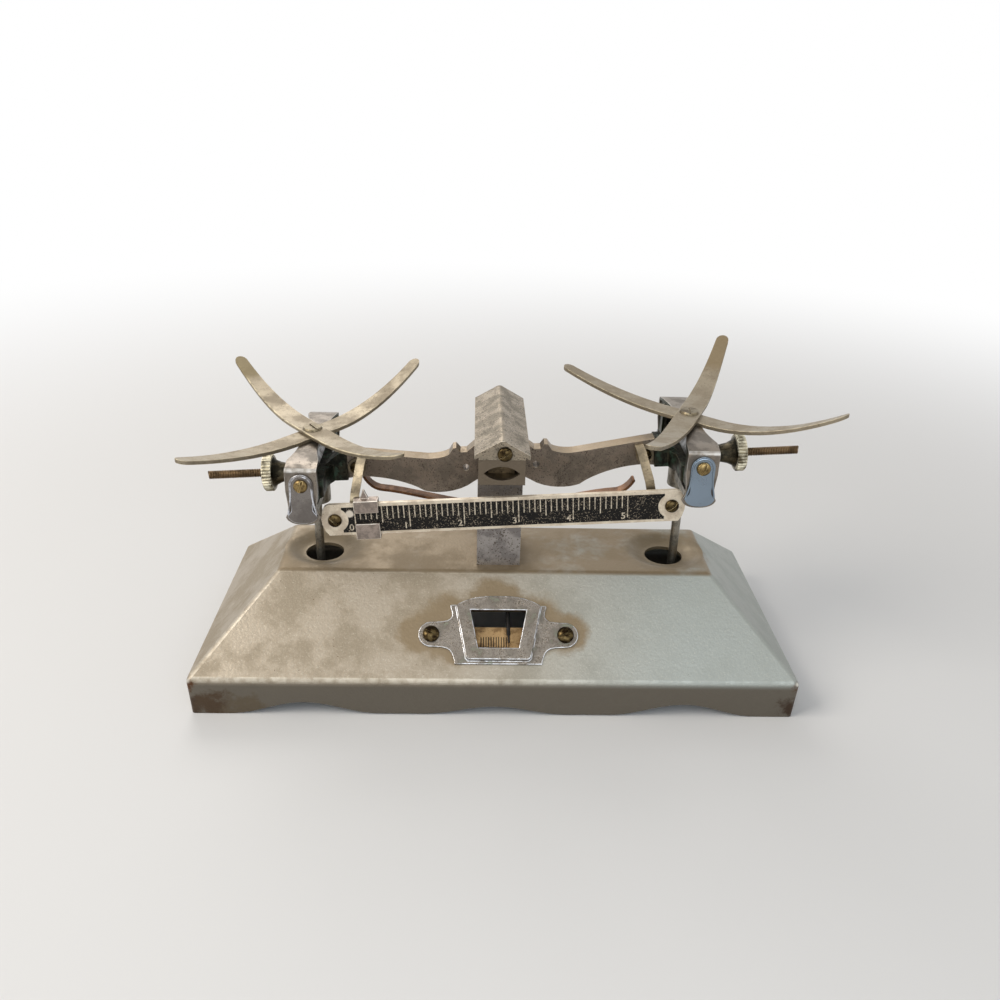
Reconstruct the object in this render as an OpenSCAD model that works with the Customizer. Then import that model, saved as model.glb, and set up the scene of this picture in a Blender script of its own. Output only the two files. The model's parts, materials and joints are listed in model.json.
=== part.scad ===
// A small table balance with equal arms: knife edges, a rider scale and two pan crosses.
// Millimetres, +X to the right, +Y away from the reader of the scale, +Z up.
// The origin is on the table under the middle of the base.
// The model rests as such a balance does when empty: its left end is down on the stop.

/* [Base shell] */
// Length of the base at the top of its skirt
base_len = 210; // [195:1:230]
// Depth of the base at the top of its skirt
base_dep = 95.4; // [90:0.2:105]
// Height of the flat top above the table
base_h = 41.6; // [38:0.2:48]
// Height of the skirt
skirt_h = 15.3; // [12:0.1:17]
// How far the skirt's lower edge tucks in at the front and back
skirt_tuck = 1.9; // [0:0.1:3]
// Length of the flat top
top_len = 154.6; // [150:0.2:165]
// Depth of the flat top
top_dep = 34.4; // [32:0.2:40]
// Thickness of the pressed sheet
sheet_t = 1.2; // [0.8:0.1:1.6]
// Distance between the centres of the two rod holes
hole_span = 127; // [125:0.5:132]
// Diameter of the rod holes
hole_d = 14; // [12:0.5:16]
// Length of each corner foot along the front
foot_len = 13; // [9:0.5:18]
// Length of each outer arch in the skirt's edge
outer_arch_len = 52; // [44:1:56]
// Height of each outer arch
outer_arch_h = 5.5; // [3:0.1:7]
// Length of the middle arch
mid_arch_len = 50; // [40:1:56]
// Height of the middle arch
mid_arch_h = 4; // [2:0.1:6]
// Height of the edge between the arches above the table
lobe_lift = 0.4; // [0.2:0.1:1]
// Height of the arch at each end of the base
end_arch_h = 4; // [2:0.1:6]

/* [Window] */
// Width of the window opening at its top
window_top_w = 19.4; // [17:0.2:21]
// Width of the window opening at its bottom
window_bottom_w = 14; // [12:0.2:16]
// Height of the window opening along the slope
window_h = 13.3; // [12:0.1:14.5]
// Distance up the slope from the skirt to the window opening
window_up = 11.6; // [10.5:0.1:13]
// Width of the raised frame below the opening
rim_w = 4.2; // [3.6:0.1:4.6]
// Width of the raised frame above the opening
rim_top_w = 5.2; // [4.4:0.1:5.6]
// Height of the raised frame above the slope
rim_h = 2.6; // [1.8:0.1:3.4]
// Rise of the arch over the top of the frame
rim_arch = 2.9; // [2:0.1:3.4]
// Thickness of the flange and its ears
flange_t = 0.8; // [0.6:0.1:1.2]
// Width of the flange beyond the raised frame
flange_w = 2; // [1.5:0.1:2.5]
// Distance between the two ear screws
ear_span = 46.7; // [45:0.1:50]
// Radius of each ear
ear_r = 4.5; // [4:0.1:5]
// Width of the dial plate
dial_w = 23; // [21:0.5:26]
// Height of the dial plate along the slope
dial_h = 14.7; // [13:0.1:16]
// Thickness of the dial plate
dial_t = 0.8; // [0.6:0.1:1]
// Depth of the dial plate's face behind the slope
dial_depth = 6.7; // [6:0.1:8]

/* [Post and cap] */
// Offset of the post and beam to the right of the base's middle
mech_x = 0.9; // [0:0.1:1.5]
// Width of the post
post_w = 15.6; // [15:0.1:18]
// Depth of the post
post_dep = 26; // [25:0.5:28]
// Wall of the hollow post
post_wall = 2.2; // [1.8:0.1:2.6]
// Thickness of the post's floor
post_floor = 4; // [3:0.1:5]
// Height of the knife edges above the base's top
knife_rise = 41.4; // [40:0.2:45]
// Reach of the post's arms from the middle to their front faces
arm_reach = 26; // [25:0.2:28]
// Thickness of each arm's end wall
arm_wall = 1.7; // [1.4:0.1:2]
// Thickness of each arm's floor
arm_floor = 1.5; // [1.2:0.1:1.8]
// Width of the lens-shaped window in each end wall
eye_w = 12; // [10:0.2:13]
// Height of the lens-shaped window
eye_h = 5; // [3.5:0.1:5.4]
// Width of the roof cap at its eaves
cap_w = 18.3; // [17:0.1:20]
// Overhang of the cap past each gable
cap_overhang = 0.8; // [0.5:0.1:1.5]
// Height of the cap's eaves above the knife edges
eaves_rise = 7.7; // [7:0.1:9]
// Rise of the cap's ridge above its eaves
ridge_rise = 5.6; // [5:0.1:7]
// Thickness of the cap's sheet
cap_t = 1.2; // [0.8:0.1:1.4]
// Thickness of the gable plates
gable_t = 1.2; // [0.8:0.1:1.4]
// Depth of the gable plates below the eaves
gable_drop = 1.7; // [1:0.1:2.2]

/* [Beam] */
// Distance from the centre knife to each end knife
arm = 66.2; // [65.8:0.1:67]
// Angle of the empty balance, left end down
rest_tilt = 3.6; // [2:0.1:4]
// Thickness of the beam casting
beam_t = 5.5; // [4.5:0.1:6]
// Half length of the casting
casting_half = 54.5; // [53.5:0.1:55.5]
// Depth of the casting's belly below the knife edges
belly_drop = 16.4; // [14:0.1:17.5]
// Distance of the belly's outer foot in from the casting's end
belly_inset = 24.5; // [22:0.5:26]
// Depth of the casting's outer underside below the knife edges
waist_drop = 8.5; // [8:0.1:9.5]
// Height of the casting's outer end above the knife edges
tip_rise = 1.2; // [0.5:0.1:1.6]
// Height of the two horns beside the cap above the knife edges
horn_rise = 1; // [0.2:0.1:1.8]
// Distance of each horn from the centre knife
horn_x = 16; // [15:0.1:17.5]
// Length of each end block along the beam
block_len = 10; // [9:0.1:11]
// Width of each end block across the beam
block_w = 38; // [34:0.5:40]
// Height of each end block
block_h = 6.2; // [5.4:0.1:6.6]

/* [Knives and bearings] */
// Height of each knife from its edge to its back
knife_h = 4; // [3.4:0.1:4.4]
// Angle between a knife's two faces
knife_angle = 60; // [50:1:70]
// Angle of the groove in each bearing
groove_angle = 120; // [110:1:130]
// Gap between a knife edge and the bottom of its groove
edge_gap = 0.25; // [0.15:0.05:0.4]
// Length of the centre bearings along the knife
centre_bearing_len = 10; // [8:0.5:11]
// Width of the centre bearings
centre_bearing_w = 9; // [8:0.2:10]
// Length of the end bearings along the knife
end_bearing_len = 3.3; // [2.8:0.1:3.6]
// Width of the end bearings
end_bearing_w = 7.2; // [6.4:0.2:7.8]
// Height of the end bearings above the groove's edges
end_bearing_h = 5.6; // [5:0.1:6.4]

/* [Pan carriers] */
// Length of a carrier from its front face to its back face
carrier_dep = 55; // [54:0.5:58]
// Width of a carrier's legs
leg_w = 10.6; // [10.2:0.1:12]
// Width of the carrier's roof at its neck
neck_w = 6.6; // [6:0.1:8]
// Height of the roof's folded edges above the knife edge
fold_rise = 5.6; // [5.4:0.1:6.5]
// Rise of the roof's middle above its folded edges
roof_rise = 1.3; // [0.8:0.1:2]
// Length of each roof slope before the fold
slope_run = 5.5; // [4:0.5:7]
// Height of a leg from the fold to its lower edge
leg_h = 20; // [18:0.2:22]
// Thickness of the carrier's sheet
carrier_t = 1.2; // [1:0.1:1.4]
// Depth of the side walls folded in along each leg
return_dep = 5; // [4:0.1:6]
// Thickness of each cover plate
cover_t = 0.8; // [0.6:0.1:1]
// Radius of the round top of each cover plate
cover_r = 4; // [3.4:0.1:4.4]
// Height of the cover screws above the knife edge
cover_screw_z = 0.3; // [0:0.1:0.6]
// Width of the crossbar that joins the legs
crossbar_w = 7; // [6:0.1:8]
// Thickness of the crossbar
crossbar_t = 3; // [2.5:0.1:3.4]
// Depth of the crossbar's top below the knife edge
crossbar_drop = 11; // [10.8:0.1:11.8]
// Diameter of the crossbar's hub
hub_d = 10; // [8:0.2:11]
// Height of the hub
hub_h = 7; // [5:0.1:9]

/* [Pan crosses] */
// Length of each strip from tip to tip
strip_len = 110; // [100:1:125]
// Width of a strip at its middle
strip_w = 8; // [7:0.1:9]
// Width of a strip near its tips
strip_tip_w = 4.8; // [4:0.1:6]
// Thickness of the strips
strip_t = 1.3; // [1:0.1:1.6]
// Rise of the strips' tips above their middles
strip_rise = 10.8; // [7:0.1:13]
// Length of the flat middle of each strip
strip_flat = 20; // [18:0.5:24]
// Direction of the rear tip of the left cross's upper strip
left_upper_angle = 128.7; // [122:0.1:134]
// Direction of the rear tip of the left cross's lower strip
left_lower_angle = 51.5; // [44:0.1:58]
// Direction of the rear tip of the right cross's upper strip
right_upper_angle = 66; // [60:1:72]
// Direction of the rear tip of the right cross's lower strip
right_lower_angle = 138; // [132:1:146]
// How much higher the left upper strip's rear tip is bent than its middle rise
left_upper_bend = 1.8; // [-3:0.1:3]
// The same for the left lower strip
left_lower_bend = 3.3; // [-4:0.1:4]
// The same for the right upper strip
right_upper_bend = 3.2; // [-4:0.1:4]
// The same for the right lower strip
right_lower_bend = -4.3; // [-5:0.1:4]

/* [Rods and lower link] */
// Diameter of the pan rods
rod_d = 3.2; // [2.8:0.1:3.6]
// Height of the lower link's pivot above the table
link_z = 22; // [20:0.5:24]
// Width of the lower link across the beam
link_w = 6; // [5.4:0.1:6.4]
// Height of the lower link
link_h = 5; // [4.6:0.1:5.4]
// Diameter of the link's pivot pin
pivot_d = 3; // [2.6:0.1:3.4]
// Diameter of the pins at the link's ends
link_pin_d = 2; // [1.8:0.1:2.4]
// Thickness of the eye at the foot of each rod
eye_t = 3; // [2.6:0.1:3.4]
// Thickness of the link bracket's sheet
bracket_t = 1.5; // [1.2:0.1:1.6]
// Width of the link bracket
bracket_w = 22; // [18:0.5:26]
// Half distance between the two screws that hold the post
post_screw_half = 3.2; // [3:0.1:3.4]
// Distance of the post screws behind the middle
post_screw_y = 8; // [7.9:0.1:8.4]

/* [Rider scale] */
// Length of the scale bar
bar_len = 123.6; // [122:0.2:125]
// Height of the scale bar
bar_h = 11.6; // [10.8:0.1:12.4]
// Thickness of the scale bar
bar_t = 1.4; // [1.2:0.1:1.6]
// Depth of the bar's middle below the knife edges
bar_drop = 14.9; // [14.6:0.1:15.6]
// Distance of the bar's face in front of the beam's middle
bar_reach = 24; // [23.5:0.1:25]
// Distance between the bar's two screws
bar_screw_span = 114.4; // [112.5:0.2:115]
// Length of the slanting corners at the bar's ends
bar_chamfer = 2.2; // [1.6:0.1:2.8]
// Thickness of the bent strips that carry the bar
hanger_t = 1.2; // [1:0.1:1.4]
// Width of the bent strips
hanger_w = 3; // [2.6:0.1:3.4]
// Lean of the bent strips away from the post
hanger_lean = 10; // [6:1:11]
// Distance of each strip's beam screw in from the casting's end
hanger_screw_inset = 3.5; // [3.3:0.1:4]
// Depth of the strips' beam screws below the knife edges
hanger_screw_drop = 4.4; // [4.2:0.1:4.8]
// Radius of the pads at the ends of the strips
pad_r = 3.2; // [3:0.1:3.3]

/* [Rider] */
// Width of the rider along the bar
rider_w = 8.3; // [7.6:0.1:9]
// Thickness of the rider's front tabs, top and bottom
rider_wall = 1.2; // [0.8:0.1:1.4]
// Thickness of the rider's back
rider_back = 1.2; // [0.8:0.1:1.4]
// Height of the gap between the front tabs
rider_gap_h = 4; // [3:0.1:5]
// Height of the rider's pointed lug
lug_h = 3.2; // [2.5:0.1:3.4]
// Width of the rider's pointed lug
lug_w = 3; // [2.4:0.1:3.6]
// Distance of the scale's zero from the centre knife
zero_x = 50.3; // [49.8:0.1:50.4]
// Clearance between the rider and the bar
rider_clear = 0.15; // [0.1:0.05:0.25]

/* [Balance nuts] */
// Diameter of the threaded rods
thread_d = 3; // [2.6:0.1:3.4]
// Depth of the threaded rods below the knife edges
thread_drop = 6.6; // [6:0.1:6.8]
// Distance of the left rod's outer end from the centre knife
left_thread_end = 105.2; // [104:0.2:110]
// Distance of the right rod's outer end from the centre knife
right_thread_end = 107; // [105:0.2:110]
// Depth of the threaded rods' roots in the end blocks
thread_root = 4.2; // [3.5:0.1:5]
// Diameter of the knurled rims
nut_d = 13.4; // [12:0.2:13.8]
// Width of the knurled rims
nut_rim = 3.6; // [3:0.1:4.2]
// Length of the trumpet-shaped hubs
nut_hub_len = 6.8; // [6:0.1:7.2]
// Diameter of the hubs' small ends
nut_hub_d = 6.2; // [5.6:0.1:7]
// Distance of the left nut's rim from the centre knife
left_nut_x = 81.2; // [81:0.1:85]
// Distance of the right nut's rim from the centre knife
right_nut_x = 83.6; // [81:0.1:88]

/* [Beam stop] */
// Thickness of the stop strip
stop_t = 1; // [0.8:0.1:1.2]
// Width of the stop strip
stop_w = 4; // [3:0.1:4.6]
// Height of the strip's middle above the base's top
stop_rise = 18; // [17:0.1:18.4]
// Distance of the strip's tips in from the ends of the casting
stop_inset = 5.5; // [5:0.1:6.5]

/* [Pointer] */
// Diameter of the pointer wire
wire_d = 1.4; // [1.2:0.1:1.6]
// Distance of the wire in front of the beam's middle
wire_y = 6.6; // [6.5:0.1:7]
// Depth of the pointer's lower end behind the slope
wire_depth = 4; // [3.8:0.1:4.4]
// Distance of the pointer's tip up the slope from the skirt
wire_tip_up = 15; // [14:0.1:17]

/* [Screws] */
// Head diameter of the window screws
ear_screw_d = 5.8; // [5:0.1:6.2]
// Head diameter of the cap screws
cap_screw_d = 5; // [4:0.1:5.4]
// Head diameter of the cover, bar and strip screws
small_screw_d = 4.7; // [4:0.1:5.2]
// Head diameter of the cross screws
cross_screw_d = 7; // [6:0.1:7.4]
// Shank diameter of the large screws
shank_d = 3; // [2.6:0.1:3.2]
// Shank diameter of the small screws
small_shank_d = 2.2; // [1.8:0.1:2.4]

/* [Fits] */
// Gap between parts that move past each other
move_gap = 0.3; // [0.2:0.05:0.5]
// Clearance between a pin and its hole, on the radius
pin_clear = 0.05; // [0.03:0.01:0.08]

/* [Hidden] */
$fn = 48;

// A cut is made this much longer than what it cuts.
over = 1;
knife_z = base_h + knife_rise;
slope_run_y = (base_dep - top_dep) / 2;
slope_angle = atan2(base_h - skirt_h, slope_run_y);
slope_len = norm([base_h - skirt_h, slope_run_y]);
top_inside_z = base_h - sheet_t;

// Room left between a screw's head and a bend beside it
seat_gap = 0.05;

// Beam and knives
knife_half = knife_h * tan(knife_angle / 2);
end_gap = 0.8;
end_knife_len = carrier_dep - 2 * carrier_t - 2 * end_gap;
centre_groove_h = centre_bearing_w / 2 / tan(groove_angle / 2);
centre_bearing_top = centre_groove_h - edge_gap;
arm_floor_top = -2.3;
block_top = 1 - knife_h;
block_bottom = block_top - block_h;
web_half = 4;
hub_half = 9;
hub_drop = 11.2;
casting_hole_x = 12.5;
casting_hole_drop = 6.7;
casting_hole_d = 2.4;
belly_x = casting_half - belly_inset;
stop_half = casting_half - stop_inset;
hanger_screw_x = casting_half - hanger_screw_inset;

// Post
beam_slot = beam_t + 2 * 1;
slot_bottom = knife_z - hub_drop - 1.4;
inside_w = post_w - 2 * post_wall;
inside_dep = post_dep - 2 * post_wall;
wire_slot_half = (knife_z - top_inside_z) * tan(rest_tilt) + wire_d / 2 + 1;
gable_y = arm_reach;
cap_half = gable_y + gable_t + cap_overhang;
eaves_z = knife_z + eaves_rise;
ridge_z = eaves_z + ridge_rise;
roof_angle = atan2(ridge_rise, cap_w / 2);
cap_screw_z = eaves_z + 0.4;
tongue_top = ridge_z - cap_t / cos(roof_angle) - 2.2;
lens_z = knife_z + 0.6;
cap_screw_x = 0.8;
bearing_start = 9;
lip_t = 1.2;
gusset_drop = 1.7;
bar_back_reach = bar_reach - bar_t - rider_clear - rider_back;

// Carriers, measured from their knife edge
carrier_half = carrier_dep / 2;
leg_inside = carrier_half - carrier_t;
roof_top = fold_rise + roof_rise;
leg_bottom = fold_rise - leg_h;
crossbar_bottom = -crossbar_drop - crossbar_t;
hub_bottom = -crossbar_drop - hub_h;
eye_wall = 2.2;
eye_r = link_pin_d / 2 + eye_wall;

// Rider scale, measured in the beam's own frame
bar_face = -bar_reach;
bar_back = bar_face + bar_t;
hanger_pad_y = -beam_t / 2 - hanger_t;
hanger_leg_y = bar_back + rider_clear + rider_back + move_gap;
hanger_top = -hanger_screw_drop + small_screw_d / 2 + seat_gap + hanger_t;
rider_top = -bar_drop + bar_h / 2 + rider_clear;
rider_bottom = -bar_drop - bar_h / 2 - rider_clear;
rider_x = -zero_x + rider_w / 2;

// Small sizes of the drawn shapes
foot_w = 10;
dial_leg_w = 6;
dial_low = window_up - 5;
head_slot_w = 0.7;
pin_end = 0.4;
pin_head_h = 0.8;
pin_head_rim = 0.8;
leg_wall_out = 0.7;
leg_wall_t = 0.9;
tongue_play = 0.6;
tongue_top_half = 2.6;
bracket_ear_half = 7;
bracket_ear_r = 5;

function arc(cx, cy, r, a0, a1, n = 8) =
    [for (i = [0:n]) let (a = a0 + (a1 - a0) * i / n) [cx + r * cos(a), cy + r * sin(a)]];

function curve(a, b, c, d, n = 8) =
    [for (i = [0:n]) let (t = i / n, u = 1 - t)
        u * u * u * a + 3 * u * u * t * b + 3 * u * t * t * c + t * t * t * d];

function flipped(points) =
    [for (i = [len(points) - 1:-1:0]) [-points[i][0], points[i][1]]];

function both_sides(points) = concat(points, flipped(points));

// The line through two points, moved in by t, as a point and a direction
function moved_line(a, b, t) =
    let (d = (b - a) / norm(b - a)) [a + t * [-d[1], d[0]], d];

function crossing(m, n) =
    let (k = (n[0] - m[0]) * [n[1][1], -n[1][0]] / (m[1] * [n[1][1], -n[1][0]]))
        m[0] + k * m[1];

// A convex outline drawn anticlockwise, moved in by t
function inset(points, t) =
    [for (i = [0:len(points) - 1])
        let (p = points[(i + len(points) - 1) % len(points)], q = points[i],
            r = points[(i + 1) % len(points)])
            crossing(moved_line(p, q, t), moved_line(q, r, t))];

// Height of the skirt's edge above the table, at a distance from its middle
function front_edge(x) =
    let (mid = mid_arch_len / 2, out_end = base_len / 2 - foot_len,
        out_start = out_end - outer_arch_len)
        x < mid ? lobe_lift + (mid_arch_h - lobe_lift) * (1 + cos(180 * x / mid)) / 2
        : x < out_start ? lobe_lift
        : x < out_start + outer_arch_len / 2
            ? lobe_lift + (outer_arch_h - lobe_lift)
                * (1 - cos(360 * (x - out_start) / outer_arch_len)) / 2
        : x < out_end ? outer_arch_h * (1 - cos(360 * (x - out_start) / outer_arch_len)) / 2
        : 0;

function end_edge(y) =
    let (half = base_dep / 2 - foot_w)
        y < half ? end_arch_h * (1 + cos(180 * y / half)) / 2 : 0;

// Draws an outline in X and Z and gives it a thickness from y0 to y1
module upright(y0, y1) {
    translate([0, y1, 0]) rotate([90, 0, 0]) linear_extrude(y1 - y0) children();
}

// Draws an outline in Y and Z and gives it a thickness from x0 to x1
module sideways(x0, x1) {
    translate([x0, 0, 0]) rotate([90, 0, 90]) linear_extrude(x1 - x0) children();
}

module box(low, high) {
    translate(low) cube(high - low);
}

// The beam's own frame: the middle of the centre knife's edge
module in_beam() {
    translate([mech_x, 0, knife_z]) rotate([0, -rest_tilt, 0]) children();
}

// The lower link's own frame: the middle of its pivot
module in_link() {
    translate([mech_x, 0, link_z]) rotate([0, -rest_tilt, 0]) children();
}

// A carrier hangs plumb from its knife edge: side -1 is left, 1 is right
module in_carrier(side) {
    translate([mech_x + side * arm * cos(rest_tilt), 0, knife_z + side * arm * sin(rest_tilt)])
        children();
}

// The front slope's own frame: up the slope from the skirt, and out of it
module on_slope() {
    translate([mech_x, -base_dep / 2, skirt_h]) rotate([slope_angle, 0, 0]) children();
}

// A round-headed screw along Z with its head on the plane z = 0 and its shank below
module round_screw(head_d, shank, length, turn = 0) {
    head_h = head_d * 0.33;
    dome = [for (i = [0:6]) [head_d / 2 * cos(15 * i), head_h * (0.25 + 0.75 * sin(15 * i))]];
    rotate([0, 0, turn])
        difference() {
            rotate_extrude()
                polygon(concat([[0, -length], [shank / 2, -length], [shank / 2, 0],
                    [head_d / 2, 0]], dome));
            box([-head_d, -head_slot_w / 2, head_h * 0.5], [head_d, head_slot_w / 2, head_h + over]);
        }
}

// The same, pointing out to the front or back of an upright face
module facing(y, out, x, z) {
    translate([x, y, z]) rotate([out < 0 ? 90 : -90, 0, 0]) children();
}

// Base shell

side_profile = [[-base_dep / 2 + skirt_tuck, 0], [base_dep / 2 - skirt_tuck, 0],
    [base_dep / 2, skirt_h], [top_dep / 2, base_h], [-top_dep / 2, base_h],
    [-base_dep / 2, skirt_h]];
front_profile = [[-base_len / 2, 0], [base_len / 2, 0], [base_len / 2, skirt_h],
    [top_len / 2, base_h], [-top_len / 2, base_h], [-base_len / 2, skirt_h]];

// The inside follows the outside and runs on down through the table
function opened(points) =
    let (p = inset(points, sheet_t), a = (p[0] - p[5]) / (p[0][1] - p[5][1]),
        b = (p[1] - p[2]) / (p[1][1] - p[2][1]))
        concat([p[0] - (p[0][1] + over) * a, p[1] - (p[1][1] + over) * b],
            [for (i = [2:5]) p[i]]);

module frustum(front, side) {
    intersection() {
        upright(-base_dep, base_dep) polygon(front);
        sideways(-base_len, base_len) polygon(side);
    }
}

module edge_cut(half, height_at, steps) {
    polygon(concat([[-half - over, -over]],
        [for (i = [-steps:steps]) [half * i / steps, height_at(abs(half * i / steps))]],
        [[half + over, -over]]));
}

module window_outline(grow) {
    polygon([[-window_bottom_w / 2 - grow, window_up - grow],
        [window_bottom_w / 2 + grow, window_up - grow],
        [window_top_w / 2 + grow, window_up + window_h + grow],
        [-window_top_w / 2 - grow, window_up + window_h + grow]]);
}

module base_shell() {
    color([0.6, 0.61, 0.57])
        difference() {
            frustum(front_profile, side_profile);
            frustum(opened(front_profile), opened(side_profile));
            upright(-base_dep, base_dep)
                edge_cut(base_len / 2 - 2, function(x) front_edge(x), 36);
            sideways(-base_len, base_len)
                edge_cut(base_dep / 2 - foot_w, function(y) end_edge(y), 12);
            for (side = [-1, 1]) {
                translate([side * hole_span / 2, 0, top_inside_z - over])
                    cylinder(d = hole_d, h = sheet_t + 2 * over);
                translate([mech_x + side * post_screw_half, post_screw_y, top_inside_z - over])
                    cylinder(d = shank_d, h = sheet_t + 2 * over);
                on_slope() translate([side * ear_span / 2, ear_y, -sheet_t - over])
                    cylinder(d = shank_d, h = sheet_t + 2 * over);
            }
            wire_opening(top_inside_z - over, base_h + over);
            on_slope() translate([0, 0, -2 * sheet_t]) linear_extrude(3 * sheet_t) window_outline(0.6);
        }
}

// The slot that the pointer's wire swings in
module wire_opening(z0, z1) {
    box([mech_x - wire_slot_half, -wire_y - 2.2, z0], [mech_x + wire_slot_half, -wire_y + 2.2, z1]);
}

// Window frame and dial

ear_y = window_up + 5;
rim_bottom = window_up - rim_w;
rim_top = window_up + window_h + rim_top_w;
rim_low_half = window_bottom_w / 2 + rim_w;
rim_top_half = window_top_w / 2 + rim_top_w;

function rim_out(y) =
    rim_low_half + (rim_top_half - rim_low_half) * (y - rim_bottom) / (rim_top - rim_bottom);

module rim_shape() {
    corner = 0.8;
    polygon(both_sides(concat(
        [[rim_low_half - corner, rim_bottom], [rim_low_half, rim_bottom + corner],
            [rim_top_half, rim_top - rim_arch - corner]],
        curve([rim_top_half - corner, rim_top - rim_arch], [rim_top_half * 0.6, rim_top],
            [rim_top_half * 0.3, rim_top], [0.01, rim_top], 6))));
}

module flange_shape() {
    waist = rim_out(ear_y) + 0.6;
    low = rim_bottom - 1.3;
    high = rim_top - rim_arch;
    ear_x = ear_span / 2;
    polygon(both_sides(concat(
        [[rim_low_half + 2 * flange_w, low]],
        curve([rim_low_half + 2 * flange_w, low + 1], [waist + 3, ear_y - 6],
            [waist + 3, ear_y - ear_r], [ear_x - 1, ear_y - ear_r], 6),
        arc(ear_x, ear_y, ear_r, -80, 80, 10),
        curve([ear_x - 1, ear_y + ear_r], [waist + 3, ear_y + ear_r], [waist + 2, ear_y + 6],
            [rim_top_half + flange_w, high - 1], 6),
        [[rim_top_half + flange_w, high]])));
}

module window_frame() {
    color([0.78, 0.77, 0.74])
        on_slope()
            difference() {
                union() {
                    linear_extrude(flange_t) flange_shape();
                    linear_extrude(rim_h) rim_shape();
                }
                translate([0, 0, -over]) linear_extrude(rim_h + 2 * over) window_outline(0);
                for (side = [-1, 1])
                    translate([side * ear_span / 2, ear_y, -over])
                        cylinder(d = shank_d, h = flange_t + 2 * over);
            }
}

module window_screw(side) {
    color([0.45, 0.4, 0.32])
        on_slope() translate([side * ear_span / 2, ear_y, flange_t])
            round_screw(ear_screw_d, shank_d, flange_t + sheet_t + dial_t + 1.5, side * 25);
}

module dial_plate() {
    back = -dial_depth - dial_t;
    foot_in = ear_span / 2 - ear_r;
    color([0.7, 0.6, 0.42])
        on_slope()
            difference() {
                union() {
                    box([-dial_w / 2, dial_low, back],
                        [dial_w / 2, dial_low + dial_h, -dial_depth]);
                    for (side = [-1, 1]) mirror([side < 0 ? 1 : 0, 0, 0]) {
                        box([dial_w / 2 - over, ear_y - dial_leg_w / 2, back],
                            [foot_in + dial_t, ear_y + dial_leg_w / 2, -dial_depth]);
                        box([foot_in, ear_y - dial_leg_w / 2, back],
                            [foot_in + dial_t, ear_y + dial_leg_w / 2, -sheet_t]);
                        box([foot_in, ear_y - dial_leg_w / 2, -sheet_t - dial_t],
                            [ear_span / 2 + ear_r - 1, ear_y + dial_leg_w / 2, -sheet_t]);
                    }
                }
                for (side = [-1, 1])
                    translate([side * ear_span / 2, ear_y, -sheet_t - dial_t - over])
                        cylinder(d = shank_d, h = dial_t + 2 * over);
            }
}

// Post and roof cap

// The arm's underside slopes from its tip back to the post
module arm_profile() {
    floor_z = knife_z + arm_floor_top;
    low_z = floor_z - arm_floor - gusset_drop;
    polygon([[-arm_reach, floor_z - lip_t], [-bar_back_reach + 1, floor_z - lip_t],
        [-post_dep / 2 + 0.2, low_z],
        [-post_dep / 2 + post_wall, low_z], [-bearing_start, floor_z - arm_floor],
        [-bearing_start, floor_z], [-arm_reach + arm_wall, floor_z],
        [-arm_reach + arm_wall, eaves_z - gable_drop], [-arm_reach, eaves_z - gable_drop]]);
}

module eye_shape() {
    r = (eye_w * eye_w / 4 + eye_h * eye_h / 4) / eye_h;
    half = asin(eye_w / 2 / r);
    translate([0, lens_z])
        polygon(concat(arc(0, -r + eye_h / 2, r, 90 - half, 90 + half, 10),
            arc(0, r - eye_h / 2, r, 270 - half, 270 + half, 10)));
}

module post_arm() {
    tongue_w = inside_w / 2 + tongue_play;
    sideways(-post_w / 2, post_w / 2) arm_profile();
    for (side = [-1, 1]) mirror([side < 0 ? 1 : 0, 0, 0])
        box([inside_w / 2, -arm_reach + arm_wall - over / 2, knife_z + arm_floor_top - over / 2],
            [post_w / 2, -beam_slot / 2, knife_z + centre_bearing_top]);
    upright(-arm_reach, -arm_reach + arm_wall)
        polygon([[-tongue_w, eaves_z - gable_drop - over], [tongue_w, eaves_z - gable_drop - over],
            [tongue_w, eaves_z - 0.6], [tongue_top_half, tongue_top], [-tongue_top_half, tongue_top],
            [-tongue_w, eaves_z - 0.6]]);
}

module post() {
    color([0.62, 0.6, 0.57])
        translate([mech_x, 0, 0])
            difference() {
                union() {
                    box([-post_w / 2, -post_dep / 2, base_h],
                        [post_w / 2, post_dep / 2, knife_z + arm_floor_top]);
                    post_arm();
                    mirror([0, 1, 0]) post_arm();
                }
                box([-inside_w / 2, -inside_dep / 2, base_h + post_floor],
                    [inside_w / 2, inside_dep / 2, knife_z + arm_floor_top - arm_floor]);
                box([-inside_w / 2, -bearing_start, knife_z - hub_drop],
                    [inside_w / 2, bearing_start, knife_z + over]);
                box([-post_w, -beam_slot / 2, slot_bottom], [post_w, beam_slot / 2, knife_z + over]);
                box([-post_w, -stop_w / 2, base_h + stop_rise],
                    [post_w, stop_w / 2, base_h + stop_rise + stop_t]);
                upright(-arm_reach - over, arm_reach + over) eye_shape();
                for (side = [-1, 1]) {
                    translate([side * post_screw_half, post_screw_y, base_h - over])
                        cylinder(d = shank_d, h = post_floor + 2 * over);
                    facing(side * arm_reach, side, cap_screw_x, cap_screw_z)
                        translate([0, 0, -arm_wall - over])
                            cylinder(d = small_shank_d, h = arm_wall + 2 * over);
                }
                translate([-mech_x, 0, 0]) wire_opening(base_h - over, base_h + post_floor + over);
            }
}

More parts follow.
